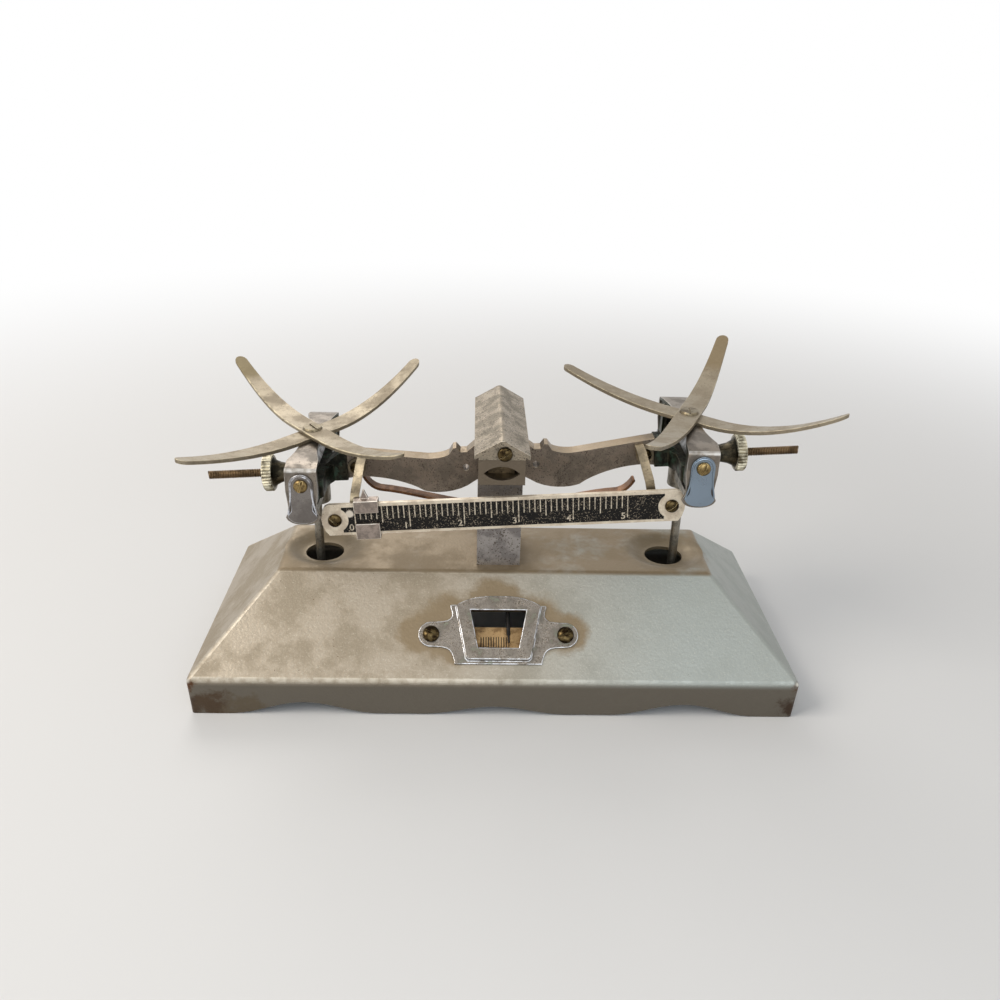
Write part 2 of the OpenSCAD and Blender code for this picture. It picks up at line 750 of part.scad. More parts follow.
module roof_section(grow) {
    t = cap_t / cos(roof_angle);
    outer = concat([[cap_w / 2, eaves_z - t + 0.3], [cap_w / 2, eaves_z + 0.2]],
        curve([2.4, ridge_z - 2.4 * tan(roof_angle)], [1.2, ridge_z - 1.2 * tan(roof_angle)],
            [0.8, ridge_z - 0.35], [0.01, ridge_z - 0.35], 5));
    inner = [[0, ridge_z - t], [cap_w / 2 - grow, eaves_z - t + grow * tan(roof_angle)]];
    polygon(concat(outer, flipped(outer), [[-inner[1][0], inner[1][1]], inner[0], inner[1]]));
}

module roof_cap() {
    t = cap_t / cos(roof_angle);
    half = post_w / 2 - 0.1;
    color([0.72, 0.68, 0.58])
        translate([mech_x, 0, 0])
            difference() {
                union() {
                    upright(-cap_half, cap_half) roof_section(0.3);
                    for (out = [-1, 1])
                        upright(min(out * gable_y, out * (gable_y + gable_t)),
                            max(out * gable_y, out * (gable_y + gable_t)))
                            polygon([[-half, eaves_z - gable_drop], [half, eaves_z - gable_drop],
                                [half, eaves_z - t / 2], [0, ridge_z - t / 2 - 0.4],
                                [-half, eaves_z - t / 2]]);
                }
                for (out = [-1, 1])
                    facing(out * gable_y, out, cap_screw_x, cap_screw_z)
                        translate([0, 0, -over]) cylinder(d = small_shank_d, h = gable_t + 2 * over);
            }
}

module cap_screw(out) {
    color([0.4, 0.35, 0.28])
        translate([mech_x, 0, 0])
            facing(out * (gable_y + gable_t), out, cap_screw_x, cap_screw_z)
                round_screw(cap_screw_d, small_shank_d, gable_t + arm_wall + 0.6, 30);
}

module centre_bearing(out) {
    half = centre_bearing_w / 2;
    y0 = min(out * bearing_start, out * (bearing_start + centre_bearing_len));
    color([0.55, 0.5, 0.4])
        translate([mech_x, 0, knife_z])
            upright(y0, y0 + centre_bearing_len)
                polygon([[-half, arm_floor_top], [half, arm_floor_top], [half, centre_bearing_top],
                    [0, -edge_gap], [-half, centre_bearing_top]]);
}

// Beam stop

// The beam's underside over the strip's tip, with the beam on the stop
stop_top = knife_z - stop_half * sin(rest_tilt) - waist_drop * cos(rest_tilt) - move_gap;

module stop_strip() {
    z0 = base_h + stop_rise;
    rise = stop_top - stop_t / 2 - z0;
    middle = [[post_w / 2 + 1, 0]];
    sweep = curve([post_w / 2 + 2, 0], [22, 1.2], [33, 0.46 * rise], [stop_half - 6, 0.53 * rise], 8);
    tip = curve([stop_half - 5, 0.56 * rise], [stop_half - 3, 0.62 * rise],
        [stop_half - 1, 0.8 * rise], [stop_half, rise], 6);
    line = concat(middle, sweep, tip);
    last = len(line) - 1;
    // The strip's other face lies square to the line at each point
    upper = [for (i = [0:last])
        let (d = line[min(i + 1, last)] - line[max(i - 1, 0)], n = [-d[1], d[0]] / norm(d))
            line[i] + stop_t * n];
    half = concat(line, arc(stop_half - stop_t * 0.45, rise, stop_t / 2, 20, 160, 4),
        [for (i = [last:-1:0]) upper[i]]);
    color([0.55, 0.35, 0.22])
        translate([mech_x, 0, z0])
            upright(-stop_w / 2, stop_w / 2) polygon(both_sides(half));
}

// Link bracket under the base's top

module link_bracket() {
    ear_in = link_w / 2 + move_gap;
    ear_out = ear_in + bracket_t;
    plate_z = top_inside_z - bracket_t;
    color([0.5, 0.5, 0.48])
        translate([mech_x, 0, 0])
            difference() {
                union() {
                    box([-bracket_w / 2, -ear_out, plate_z],
                        [bracket_w / 2, post_screw_y + 5, top_inside_z]);
                    for (out = [-1, 1])
                        upright(min(out * ear_in, out * ear_out), max(out * ear_in, out * ear_out))
                            polygon(both_sides(concat(arc(0, link_z, bracket_ear_r, -90, -10, 6),
                                [[bracket_ear_half, link_z + 6],
                                    [bracket_ear_half, plate_z + over / 2]])));
                }
                translate([0, 0, link_z]) rotate([90, 0, 0])
                    cylinder(d = pivot_d, h = 4 * ear_out, center = true);
                for (side = [-1, 1])
                    translate([side * post_screw_half, post_screw_y, plate_z - over])
                        cylinder(d = shank_d, h = bracket_t + 2 * over);
            }
}

module post_screw(side) {
    head_d = 2 * post_screw_half - 0.6;
    color([0.45, 0.42, 0.36])
        translate([mech_x + side * post_screw_half, post_screw_y, top_inside_z - bracket_t])
            rotate([180, 0, 0])
                round_screw(head_d, shank_d, bracket_t + sheet_t + post_floor);
}

module pivot_pin() {
    half = link_w / 2 + move_gap + bracket_t;
    color([0.6, 0.6, 0.58])
        translate([mech_x, 0, link_z]) rotate([90, 0, 0]) {
            cylinder(d = pivot_d, h = 2 * half, center = true);
            for (end = [-1, 1])
                translate([0, 0, end * (half + pin_head_h / 2)])
                    cylinder(d = pivot_d + 2 * pin_head_rim, h = pin_head_h, center = true);
        }
}

module lower_link() {
    end_half = arm + 4;
    slot_half = eye_t / 2 + move_gap;
    color([0.5, 0.48, 0.44])
        in_link()
            union() {
                difference() {
                    box([-end_half, -link_w / 2, -link_h / 2], [end_half, link_w / 2, link_h / 2]);
                    rotate([90, 0, 0])
                        cylinder(d = pivot_d + 2 * pin_clear, h = 2 * link_w, center = true);
                    for (side = [-1, 1])
                        box([side * arm - eye_r - 2, -slot_half, -link_h],
                            [side * arm + eye_r + 2, slot_half, link_h]);
                }
                for (side = [-1, 1])
                    translate([side * arm, 0, 0]) rotate([90, 0, 0])
                        cylinder(d = link_pin_d, h = link_w + 2 * pin_end, center = true);
            }
}

// Beam

module casting_outline() {
    horn_foot = horn_rise - 1.8;
    top = concat(
        [[0, knife_h + 1.6], [5.5, knife_h + 1.2], [hub_half + 0.4, horn_foot + 2.2],
            [horn_x - 4, horn_foot], [horn_x - 1.8, horn_foot], [horn_x - 0.4, horn_rise],
            [horn_x + 0.8, horn_rise - 0.2]],
        curve([horn_x + 2.2, horn_rise - 2.4], [horn_x + 4, -2.4], [horn_x + 7, -2.9],
            [horn_x + 10, -2.7], 6),
        [[casting_half, tip_rise]]);
    bottom = concat(
        [[casting_half, -waist_drop - 0.4]],
        curve([stop_half + 2, -waist_drop], [stop_half - 5, -waist_drop],
            [belly_x + 6, -waist_drop - 2], [belly_x, -belly_drop + 2.6], 8),
        curve([belly_x - 2, -belly_drop + 1.3], [belly_x - 5, -belly_drop],
            [horn_x, -belly_drop - 0.6], [hub_half + 1, -hub_drop - 1.2], 8),
        [[hub_half - 1, -hub_drop], [0, -hub_drop]]);
    polygon(both_sides(concat(top, bottom)));
}

module beam_casting() {
    color([0.52, 0.51, 0.48])
        in_beam()
            difference() {
                upright(-beam_t / 2, beam_t / 2) casting_outline();
                upright(-beam_t, beam_t) knife_section(1);
                for (side = [-1, 1]) {
                    translate([side * casting_hole_x, 0, -casting_hole_drop]) rotate([90, 0, 0])
                        cylinder(d = casting_hole_d, h = 2 * beam_t, center = true);
                    facing(-beam_t / 2, -1, side * hanger_screw_x, -hanger_screw_drop)
                        translate([0, 0, -3]) cylinder(d = small_shank_d, h = 3 + over);
                }
            }
}

// A knife's section: up 1 puts its back above its edge, -1 below
module knife_section(up) {
    polygon([[0, 0], [knife_half, up * knife_h], [-knife_half, up * knife_h]]);
}

module centre_knife() {
    half = bearing_start + centre_bearing_len + 0.3;
    color([0.5, 0.5, 0.52]) in_beam() upright(-half, half) knife_section(1);
}

module end_block(side) {
    half = block_w / 2;
    in_x = arm - block_len / 2;
    out_x = arm + block_len / 2;
    r = 3;
    plan = concat(arc(out_x - r, half - r, r, 0, 90, 6), arc(in_x + r, half - r, r, 90, 180, 6),
        [[in_x, web_half + 4], [in_x - 2, web_half], [casting_half, web_half],
            [casting_half, -web_half], [in_x - 2, -web_half], [in_x, -web_half - 4]],
        arc(in_x + r, -half + r, r, 180, 270, 6), arc(out_x - r, -half + r, r, 270, 360, 6));
    color([0.28, 0.32, 0.27])
        in_beam() mirror([side < 0 ? 1 : 0, 0, 0])
            difference() {
                union() {
                    translate([0, 0, block_bottom]) linear_extrude(block_h) polygon(plan);
                    upright(-web_half, web_half)
                        polygon([[casting_half, -waist_drop - 0.4], [in_x + 1, block_bottom],
                            [in_x + 1, block_top], [casting_half + 2.4, tip_rise],
                            [casting_half, tip_rise]]);
                }
                translate([arm, 0, 0]) upright(-block_w, block_w) knife_section(-1);
                translate([out_x - thread_root, 0, -thread_drop]) rotate([0, 90, 0])
                    cylinder(d = thread_d, h = thread_root + over);
            }
}

module end_knife(side) {
    color([0.5, 0.5, 0.52])
        in_beam() translate([side * arm, 0, 0])
            upright(-end_knife_len / 2, end_knife_len / 2) knife_section(-1);
}

module threaded_rod(side, end_x) {
    start = arm + block_len / 2 - thread_root;
    color([0.38, 0.3, 0.2])
        in_beam() mirror([side < 0 ? 1 : 0, 0, 0])
            translate([start, 0, -thread_drop]) rotate([0, 90, 0])
                cylinder(d = thread_d, h = end_x - start);
}

// Outline of a nut from its rim's outer face to its hub's small end
module nut(side, rim_x) {
    bore = thread_d / 2 + pin_clear;
    rim = nut_d / 2;
    hub = curve([rim - 1, nut_rim], [rim - 2.6, nut_rim + 0.6], [nut_hub_d / 2 + 0.4, nut_rim + 3],
        [nut_hub_d / 2, nut_rim + nut_hub_len], 8);
    color([0.45, 0.43, 0.38])
        in_beam() mirror([side < 0 ? 1 : 0, 0, 0])
            translate([rim_x + nut_rim, 0, -thread_drop]) rotate([0, -90, 0])
                rotate_extrude()
                    polygon(concat([[bore, 0], [rim - 0.5, 0], [rim, 0.5], [rim, nut_rim - 0.5],
                        [rim - 0.5, nut_rim]], hub, [[bore, nut_rim + nut_hub_len]]));
}

// A wire with eight flats from one point to the next, each run a little past its corners
module wire_run(points, d) {
    past = d * 0.3;
    for (i = [0:len(points) - 2]) {
        run = points[i + 1] - points[i];
        translate(points[i]) rotate([0, acos(run[2] / norm(run)), atan2(run[1], run[0])])
            translate([0, 0, -past]) cylinder(d = d, h = norm(run) + 2 * past, $fn = 8);
    }
}

// A point on the slope's own frame, in the beam's level frame
function slope_point(up, depth) =
    [0, -base_dep / 2 + up * cos(slope_angle) + depth * sin(slope_angle),
        skirt_h + up * sin(slope_angle) - depth * cos(slope_angle) - knife_z];

module pointer() {
    bend_z = top_inside_z - 2.2 - knife_z;
    root = hub_drop / 2;
    needle = 3;
    lead = slope_point(wire_tip_up + needle, wire_depth);
    color([0.3, 0.28, 0.25])
        in_beam()
            union() {
                translate([0, -beam_t / 2, -root]) rotate([90, 0, 0])
                    cylinder(d = wire_d + 1.2, h = wire_y - beam_t / 2, $fn = 8);
                wire_run([[0, -wire_y, -root], [0, -wire_y, bend_z],
                    slope_point(slope_len - 4.2, wire_depth), lead], wire_d);
                translate(lead) rotate([0, 90 + slope_angle, -90])
                    cylinder(d = wire_d * 0.6, h = needle, $fn = 8);
            }
}

// Rider scale

// A strip bent out from the beam's face, forward and down behind the bar
module hanger_ribbon() {
    turn_y = -9.4;
    leg_z = -bar_drop + bar_h / 2 + 1.6;
    foot_z = -bar_drop - hanger_w / 2;
    inner = hanger_leg_y + hanger_t;
    polygon([[-beam_t / 2, -hanger_screw_drop - 1], [-beam_t / 2, hanger_top],
        [turn_y, hanger_top], [hanger_leg_y, leg_z + 0.6], [hanger_leg_y, foot_z],
        [inner, foot_z], [inner, leg_z - 0.2], [turn_y + 0.4, hanger_top - hanger_t],
        [hanger_pad_y, hanger_top - hanger_t], [hanger_pad_y, -hanger_screw_drop - 1]]);
}

module bar_hanger(side) {
    pad_x = bar_screw_span / 2;
    arm_x = hanger_screw_x - hanger_w - 0.6;
    foot_x = arm_x + (bar_drop + hanger_top) * sin(hanger_lean);
    color([0.72, 0.68, 0.58])
        in_beam() mirror([side < 0 ? 1 : 0, 0, 0])
            difference() {
                union() {
                    facing(hanger_pad_y, -1, hanger_screw_x, -hanger_screw_drop)
                        translate([0, 0, -hanger_t]) cylinder(r = pad_r, h = hanger_t);
                    translate([arm_x, 0, hanger_top]) rotate([0, -hanger_lean, 0])
                        translate([0, 0, -hanger_top]) sideways(0, hanger_w) hanger_ribbon();
                    box([foot_x, hanger_leg_y, -bar_drop - hanger_w / 2],
                        [pad_x, hanger_leg_y + hanger_t, -bar_drop + hanger_w / 2]);
                    facing(bar_back, -1, pad_x, -bar_drop)
                        translate([0, 0, bar_back - hanger_leg_y - hanger_t])
                            cylinder(r = pad_r, h = hanger_leg_y + hanger_t - bar_back);
                }
                facing(hanger_pad_y, -1, hanger_screw_x, -hanger_screw_drop)
                    translate([0, 0, -hanger_t - over])
                        cylinder(d = small_shank_d, h = hanger_t + 2 * over);
                facing(bar_back, -1, pad_x, -bar_drop)
                    translate([0, 0, -bar_reach])
                        cylinder(d = small_shank_d, h = 2 * bar_reach);
            }
}

module hanger_screw(side) {
    color([0.4, 0.35, 0.28])
        in_beam() facing(hanger_pad_y, -1, side * hanger_screw_x, -hanger_screw_drop)
            round_screw(small_screw_d, small_shank_d, hanger_t + 3, 20);
}

module scale_bar() {
    half = bar_len / 2;
    top = bar_h / 2;
    corner = [[half - bar_chamfer, -top], [half - bar_chamfer * 0.45, -top + 1.8],
        [half - 0.2, -1.6], [half, 0.6], [half - bar_chamfer * 0.3, top - 2.2],
        [half - bar_chamfer * 0.7, top - 0.6], [half - bar_chamfer - 0.8, top]];
    color([0.1, 0.1, 0.1])
        in_beam()
            difference() {
                translate([0, 0, -bar_drop]) upright(bar_face, bar_back) polygon(both_sides(corner));
                for (side = [-1, 1])
                    facing(bar_face, -1, side * bar_screw_span / 2, -bar_drop)
                        translate([0, 0, -bar_t - over])
                            cylinder(d = small_shank_d, h = bar_t + 2 * over);
            }
}

module bar_screw(side) {
    color([0.4, 0.35, 0.28])
        in_beam() facing(bar_face, -1, side * bar_screw_span / 2, -bar_drop)
            round_screw(small_screw_d, small_shank_d, hanger_leg_y + hanger_t - bar_face + 0.6,
                40 * side);
}

module rider() {
    front = bar_face - rider_clear;
    back = bar_back + rider_clear;
    mid = -bar_drop + 0.7;
    half = rider_w / 2;
    lug_half_t = 0.6;
    lug_shift = -0.6;
    lug_tip = 0.2;
    lug_foot = rider_top + rider_wall;
    color([0.75, 0.74, 0.72])
        in_beam() translate([rider_x, 0, 0])
            union() {
                difference() {
                    box([-half, front - rider_wall, rider_bottom - rider_wall],
                        [half, back + rider_back, lug_foot]);
                    box([-rider_w, front, rider_bottom], [rider_w, back, rider_top]);
                    box([-rider_w, front - rider_wall - over, mid - rider_gap_h / 2],
                        [rider_w, front + rider_clear, mid + rider_gap_h / 2]);
                }
                upright(back - lug_half_t, back + lug_half_t)
                    polygon([[lug_shift - lug_w / 2, lug_foot - 0.2],
                        [lug_shift + lug_w / 2, lug_foot - 0.2],
                        [lug_shift + lug_tip, lug_foot + lug_h],
                        [lug_shift - lug_tip, lug_foot + lug_h]]);
            }
}

// Pan carriers

module roof_plan() {
    edge = leg_w / 2;
    polygon(both_sides(concat(
        [[edge, -carrier_half], [edge, -carrier_half + slope_run]],
        curve([edge, -carrier_half + slope_run], [neck_w / 2, -14], [neck_w / 2, -11],
            [neck_w / 2, -8], 6),
        curve([neck_w / 2, 8], [neck_w / 2, 11], [neck_w / 2, 14],
            [edge, carrier_half - slope_run], 6),
        [[edge, carrier_half]])));
}

module leg_outline(crown, waist, flare, bottom) {
    half = crown[len(crown) - 1][0];
    top = crown[len(crown) - 1][1];
    polygon(both_sides(concat(
        crown,
        curve([half, top - (top - bottom) * 0.4], [waist + 0.1, bottom + 7], [waist, bottom + 6],
            [waist + 0.3, bottom + 4.6], 6),
        [[flare, bottom + 2.6]],
        curve([flare - 0.6, bottom + 1.6], [flare * 0.7, bottom + 0.4], [flare * 0.4, bottom],
            [0.01, bottom], 6))));
}

module leg_shape() {
    leg_outline([[leg_w / 2, fold_rise]], leg_w / 2 - leg_wall_out, leg_w / 2 + 0.5, leg_bottom);
}

module carrier(side) {
    color([0.7, 0.7, 0.7])
        in_carrier(side)
            difference() {
                union() {
                    intersection() {
                        sideways(-leg_w, leg_w)
                            polygon([[-carrier_half, fold_rise - carrier_t],
                                [-carrier_half + slope_run, roof_top - carrier_t],
                                [carrier_half - slope_run, roof_top - carrier_t],
                                [carrier_half, fold_rise - carrier_t], [carrier_half, fold_rise],
                                [carrier_half - slope_run, roof_top],
                                [-carrier_half + slope_run, roof_top], [-carrier_half, fold_rise]]);
                        linear_extrude(3 * roof_top, center = true) roof_plan();
                    }
                    for (out = [-1, 1]) mirror([0, out < 0 ? 1 : 0, 0]) {
                        upright(leg_inside, carrier_half) leg_shape();
                        for (wall = [-1, 1]) mirror([wall < 0 ? 1 : 0, 0, 0])
                            box([leg_w / 2 - leg_wall_out - leg_wall_t, leg_inside - return_dep,
                                leg_bottom + 7],
                                [leg_w / 2 - leg_wall_out, leg_inside + over / 2,
                                    fold_rise - carrier_t / 2]);
                    }
                }
                translate([0, 0, roof_top - 2 * carrier_t]) cylinder(d = shank_d, h = 3 * carrier_t);
                for (out = [-1, 1])
                    facing(out * carrier_half, out, 0, cover_screw_z)
                        translate([0, 0, -carrier_t - over])
                            cylinder(d = small_shank_d, h = carrier_t + 2 * over);
            }
}

module end_bearing(side, out) {
    half = end_bearing_w / 2;
    low = edge_gap - half / tan(groove_angle / 2);
    y0 = min(out * leg_inside, out * (leg_inside - end_bearing_len));
    color([0.5, 0.5, 0.52])
        in_carrier(side)
            upright(y0, y0 + end_bearing_len)
                polygon([[-half, low], [0, edge_gap], [half, low], [half, low + end_bearing_h],
                    [-half, low + end_bearing_h]]);
}

module cover(side, out) {
    y = out * carrier_half;
    shift = cover_r - 0.6;
    color([0.68, 0.7, 0.74])
        in_carrier(side)
            difference() {
                upright(min(y, y + out * cover_t), max(y, y + out * cover_t))
                    leg_outline(arc(0, cover_screw_z, cover_r, 85, 0, 8), shift, leg_w / 2 - 0.2,
                        leg_bottom + 0.8);
                facing(y, out, 0, cover_screw_z)
                    translate([0, 0, -over]) cylinder(d = small_shank_d, h = cover_t + 2 * over);
            }
}

module cover_screw(side, out) {
    color([0.5, 0.42, 0.28])
        in_carrier(side) facing(out * (carrier_half + cover_t), out, 0, cover_screw_z)
            round_screw(small_screw_d, small_shank_d, cover_t + carrier_t, 70);
}

// The crossbar between the legs, with the rod that runs down to the lower link
module pan_rod(side) {
    eye_z = link_z - knife_z;
    color([0.4, 0.42, 0.38])
        in_carrier(side)
            difference() {
                union() {
                    box([-crossbar_w / 2, -leg_inside, crossbar_bottom],
                        [crossbar_w / 2, leg_inside, -crossbar_drop]);
                    translate([0, 0, hub_bottom]) cylinder(d = hub_d, h = hub_h);
                    translate([0, 0, eye_z + 1]) cylinder(d = rod_d, h = hub_bottom - eye_z - 1 + over);
                    translate([0, 0, eye_z]) rotate([90, 0, 0])
                        cylinder(r = eye_r, h = eye_t, center = true);
                }
                translate([0, 0, eye_z]) rotate([90, 0, 0])
                    cylinder(d = link_pin_d + 2 * move_gap, h = 2 * eye_t, center = true);
            }
}

// Pan crosses

// A strip's outline from its middle to one tip, with the other half turned
module strip_plan() {
    tip_r = strip_tip_w / 2;
    flat = strip_flat / 2;
    end = strip_len / 2 - tip_r;
    half = concat([[flat * 0.6, -strip_w / 2]],
        curve([flat, -strip_w / 2], [end * 0.4, -strip_w / 2 + 0.1], [end * 0.8, -tip_r - 0.3],
            [end, -tip_r], 6),
        arc(end, 0, tip_r, -75, 75, 8),
        curve([end, tip_r], [end * 0.8, tip_r + 0.3], [end * 0.4, strip_w / 2 - 0.1],
            [flat, strip_w / 2], 6),
        [[flat * 0.6, strip_w / 2]]);
    polygon(concat(half, [for (p = half) -p]));
}

// The rear tip is bent up by the rise and the bend, the front tip by the rise less the bend
module strip_side(bend) {
    flat = strip_flat / 2;
    run = strip_len / 2 - flat;
    steps = 12;
    function rise_at(i, top) = top * pow(i / steps, 1.9);
    rear = [for (i = [0:steps]) [flat + run * i / steps, rise_at(i, strip_rise + bend)]];
    front = [for (i = [steps:-1:0]) [-flat - run * i / steps, rise_at(i, strip_rise - bend)]];
    lower = concat(front, rear);
    polygon(concat(lower, [for (i = [len(lower) - 1:-1:0]) lower[i] + [0, strip_t]]));
}

module strip(side, layer, angle, bend) {
    color([0.72, 0.68, 0.58])
        in_carrier(side)
            translate([0, 0, roof_top + layer * strip_t]) rotate([0, 0, angle])
                difference() {
                    intersection() {
                        upright(-strip_w, strip_w) strip_side(bend);
                        linear_extrude(4 * strip_rise, center = true) strip_plan();
                    }
                    translate([0, 0, -over]) cylinder(d = shank_d, h = strip_t + 2 * over);
                }
}

module cross_screw(side) {
    color([0.6, 0.57, 0.48])
        in_carrier(side) translate([0, 0, roof_top + 2 * strip_t])
            rotate([0, 0, side * 70 + 15])
                difference() {
                    union() {
                        cylinder(d1 = cross_screw_d, d2 = cross_screw_d - 0.8, h = 0.8);
                        translate([0, 0, -2 * strip_t - carrier_t - 1.6])
                            cylinder(d = shank_d, h = 2 * strip_t + carrier_t + 1.6);
                    }
                    box([-cross_screw_d, -head_slot_w / 2, 0.4], [cross_screw_d, head_slot_w / 2, 2]);
                }
}

base_shell();
window_frame();
window_screw(-1);  // window_screw_left
window_screw(1);  // window_screw_right
dial_plate();
post();
roof_cap();
cap_screw(-1);  // cap_screw_front
cap_screw(1);  // cap_screw_rear
centre_bearing(-1);  // centre_bearing_front
centre_bearing(1);  // centre_bearing_rear
stop_strip();
link_bracket();
post_screw(-1);  // post_screw_left
post_screw(1);  // post_screw_right
pivot_pin();
beam_casting();
centre_knife();
end_block(-1);  // end_block_left
end_block(1);  // end_block_right
end_knife(-1);  // end_knife_left
end_knife(1);  // end_knife_right
pointer();
threaded_rod(-1, left_thread_end);  // threaded_rod_left
threaded_rod(1, right_thread_end);  // threaded_rod_right
bar_hanger(-1);  // bar_hanger_left
bar_hanger(1);  // bar_hanger_right
hanger_screw(-1);  // hanger_screw_left
hanger_screw(1);  // hanger_screw_right
scale_bar();
bar_screw(-1);  // bar_screw_left
bar_screw(1);  // bar_screw_right
carrier(-1);  // carrier_left
carrier(1);  // carrier_right
pan_rod(-1);  // pan_rod_left
pan_rod(1);  // pan_rod_right
end_bearing(-1, -1);  // end_bearing_left_front
end_bearing(-1, 1);  // end_bearing_left_rear
end_bearing(1, -1);  // end_bearing_right_front
end_bearing(1, 1);  // end_bearing_right_rear
cover(-1, -1);  // cover_left_front
cover(-1, 1);  // cover_left_rear
cover(1, -1);  // cover_right_front
cover(1, 1);  // cover_right_rear
cover_screw(-1, -1);  // cover_screw_left_front
cover_screw(-1, 1);  // cover_screw_left_rear
cover_screw(1, -1);  // cover_screw_right_front
cover_screw(1, 1);  // cover_screw_right_rear
strip(-1, 0, left_lower_angle, left_lower_bend);  // lower_strip_left
strip(-1, 1, left_upper_angle, left_upper_bend);  // upper_strip_left
strip(1, 0, right_lower_angle, right_lower_bend);  // lower_strip_right
strip(1, 1, right_upper_angle, right_upper_bend);  // upper_strip_right
cross_screw(-1);  // cross_screw_left
cross_screw(1);  // cross_screw_right
lower_link();
rider();
nut(-1, left_nut_x);  // nut_left
nut(1, right_nut_x);  // nut_right
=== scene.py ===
import json
import math

import bmesh
import bpy
from mathutils import Matrix, Vector

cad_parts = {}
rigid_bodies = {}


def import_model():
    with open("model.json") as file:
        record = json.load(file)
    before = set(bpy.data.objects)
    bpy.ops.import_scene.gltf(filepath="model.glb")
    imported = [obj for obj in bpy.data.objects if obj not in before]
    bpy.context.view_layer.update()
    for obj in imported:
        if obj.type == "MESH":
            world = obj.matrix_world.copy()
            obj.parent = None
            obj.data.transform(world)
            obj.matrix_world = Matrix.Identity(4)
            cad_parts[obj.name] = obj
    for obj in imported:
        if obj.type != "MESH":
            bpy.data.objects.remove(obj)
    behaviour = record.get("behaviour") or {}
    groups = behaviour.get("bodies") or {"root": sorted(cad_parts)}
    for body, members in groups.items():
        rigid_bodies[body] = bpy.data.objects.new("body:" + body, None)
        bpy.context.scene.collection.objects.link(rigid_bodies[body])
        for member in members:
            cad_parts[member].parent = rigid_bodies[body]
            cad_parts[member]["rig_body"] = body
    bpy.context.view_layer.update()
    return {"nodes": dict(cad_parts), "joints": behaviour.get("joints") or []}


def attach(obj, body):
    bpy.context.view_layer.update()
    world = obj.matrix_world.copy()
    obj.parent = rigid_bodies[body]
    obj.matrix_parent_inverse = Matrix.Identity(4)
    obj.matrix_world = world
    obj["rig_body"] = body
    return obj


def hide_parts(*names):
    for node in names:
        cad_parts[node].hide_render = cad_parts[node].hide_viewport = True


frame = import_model()

# The table, the light and the view. The balance is seen from the front and a little above, from
# a third of a metre away, on a plain pale floor under soft light that is warmer from the left.
mm = 0.001

view = bpy.data.objects.new("view", bpy.data.cameras.new("view"))
bpy.context.scene.collection.objects.link(view)
yaw, pitch, roll = (math.radians(angle) for angle in (1.85, 25.75, 1.57))
ahead = Vector((math.sin(yaw) * math.cos(pitch), math.cos(yaw) * math.cos(pitch), -math.sin(pitch)))
level = Vector((math.cos(yaw), -math.sin(yaw), 0))
above = level.cross(ahead)
across = math.cos(roll) * level + math.sin(roll) * above
upward = math.cos(roll) * above - math.sin(roll) * level
facing_back = Matrix((across, upward, -ahead)).transposed().to_4x4()
view.matrix_world = Matrix.Translation((-8.55 * mm, -305.94 * mm, 209.09 * mm)) @ facing_back
view.data.sensor_width = 36
view.data.lens = 33.46
view.data.clip_start = 0.01
bpy.context.scene.camera = view
bpy.context.scene.view_settings.view_transform = "Standard"


def soft_lamp(name, place, size, power, colour):
    lamp = bpy.data.objects.new(name, bpy.data.lights.new(name, "AREA"))
    bpy.context.scene.collection.objects.link(lamp)
    lamp.data.size = size
    lamp.data.energy = power
    lamp.data.color = colour
    aim = Vector((0, 0, 0.05)) - Vector(place)
    lamp.matrix_world = Matrix.Translation(place) @ aim.to_track_quat("-Z", "Y").to_matrix().to_4x4()


soft_lamp("window_light", (-0.75, -0.35, 0.75), 0.55, 7.5, (1, 0.94, 0.86))
soft_lamp("sky_light", (0.1, -0.9, 0.6), 0.8, 4.2, (0.85, 0.93, 1))
soft_lamp("back_light", (-0.3, 0.8, 0.8), 0.6, 4, (1, 0.97, 0.93))


def joined(tree, kind, inputs=None, **settings):
    made = tree.nodes.new(kind)
    for name, value in settings.items():
        setattr(made, name, value)
    for name, value in (inputs or {}).items():
        if isinstance(value, bpy.types.NodeSocket):
            tree.links.new(value, made.inputs[name])
        else:
            made.inputs[name].default_value = value
    return made


air = bpy.data.worlds.new("air")
bpy.context.scene.world = air
air.use_nodes = True
seen = joined(air.node_tree, "ShaderNodeLightPath")
shown = joined(air.node_tree, "ShaderNodeMath", {0: seen.outputs["Is Camera Ray"],
    1: seen.outputs["Is Glossy Ray"]}, operation="MAXIMUM")
glow = joined(air.node_tree, "ShaderNodeMath", {0: shown.outputs[0], 1: 0.62, 2: 0.38},
    operation="MULTIPLY_ADD")
sky = air.node_tree.nodes["Background"]
sky.inputs["Color"].default_value = (1, 1, 1, 1)
air.node_tree.links.new(glow.outputs[0], sky.inputs["Strength"])

table_half, table_drop, fade_start, fade_end = 20, 0.1 * mm, 200 * mm, 750 * mm
table_mesh = bmesh.new()
bmesh.ops.create_grid(table_mesh, x_segments=1, y_segments=1, size=table_half)
bmesh.ops.translate(table_mesh, vec=(0, 0, -table_drop), verts=table_mesh.verts)
table_top = bpy.data.objects.new("table_top", bpy.data.meshes.new("table_top"))
table_mesh.to_mesh(table_top.data)
bpy.context.scene.collection.objects.link(table_top)
table_cloth = bpy.data.materials.new("table_cloth")
table_cloth.use_nodes = True
cloth_tree = table_cloth.node_tree
cloth_shader = cloth_tree.nodes["Principled BSDF"]
cloth_shader.inputs["Base Color"].default_value = (0.66, 0.655, 0.65, 1)
cloth_shader.inputs["Roughness"].default_value = 0.85
ray = joined(cloth_tree, "ShaderNodeLightPath")
watched = joined(cloth_tree, "ShaderNodeMath", {0: ray.outputs["Is Camera Ray"],
    1: ray.outputs["Is Glossy Ray"]}, operation="MAXIMUM")
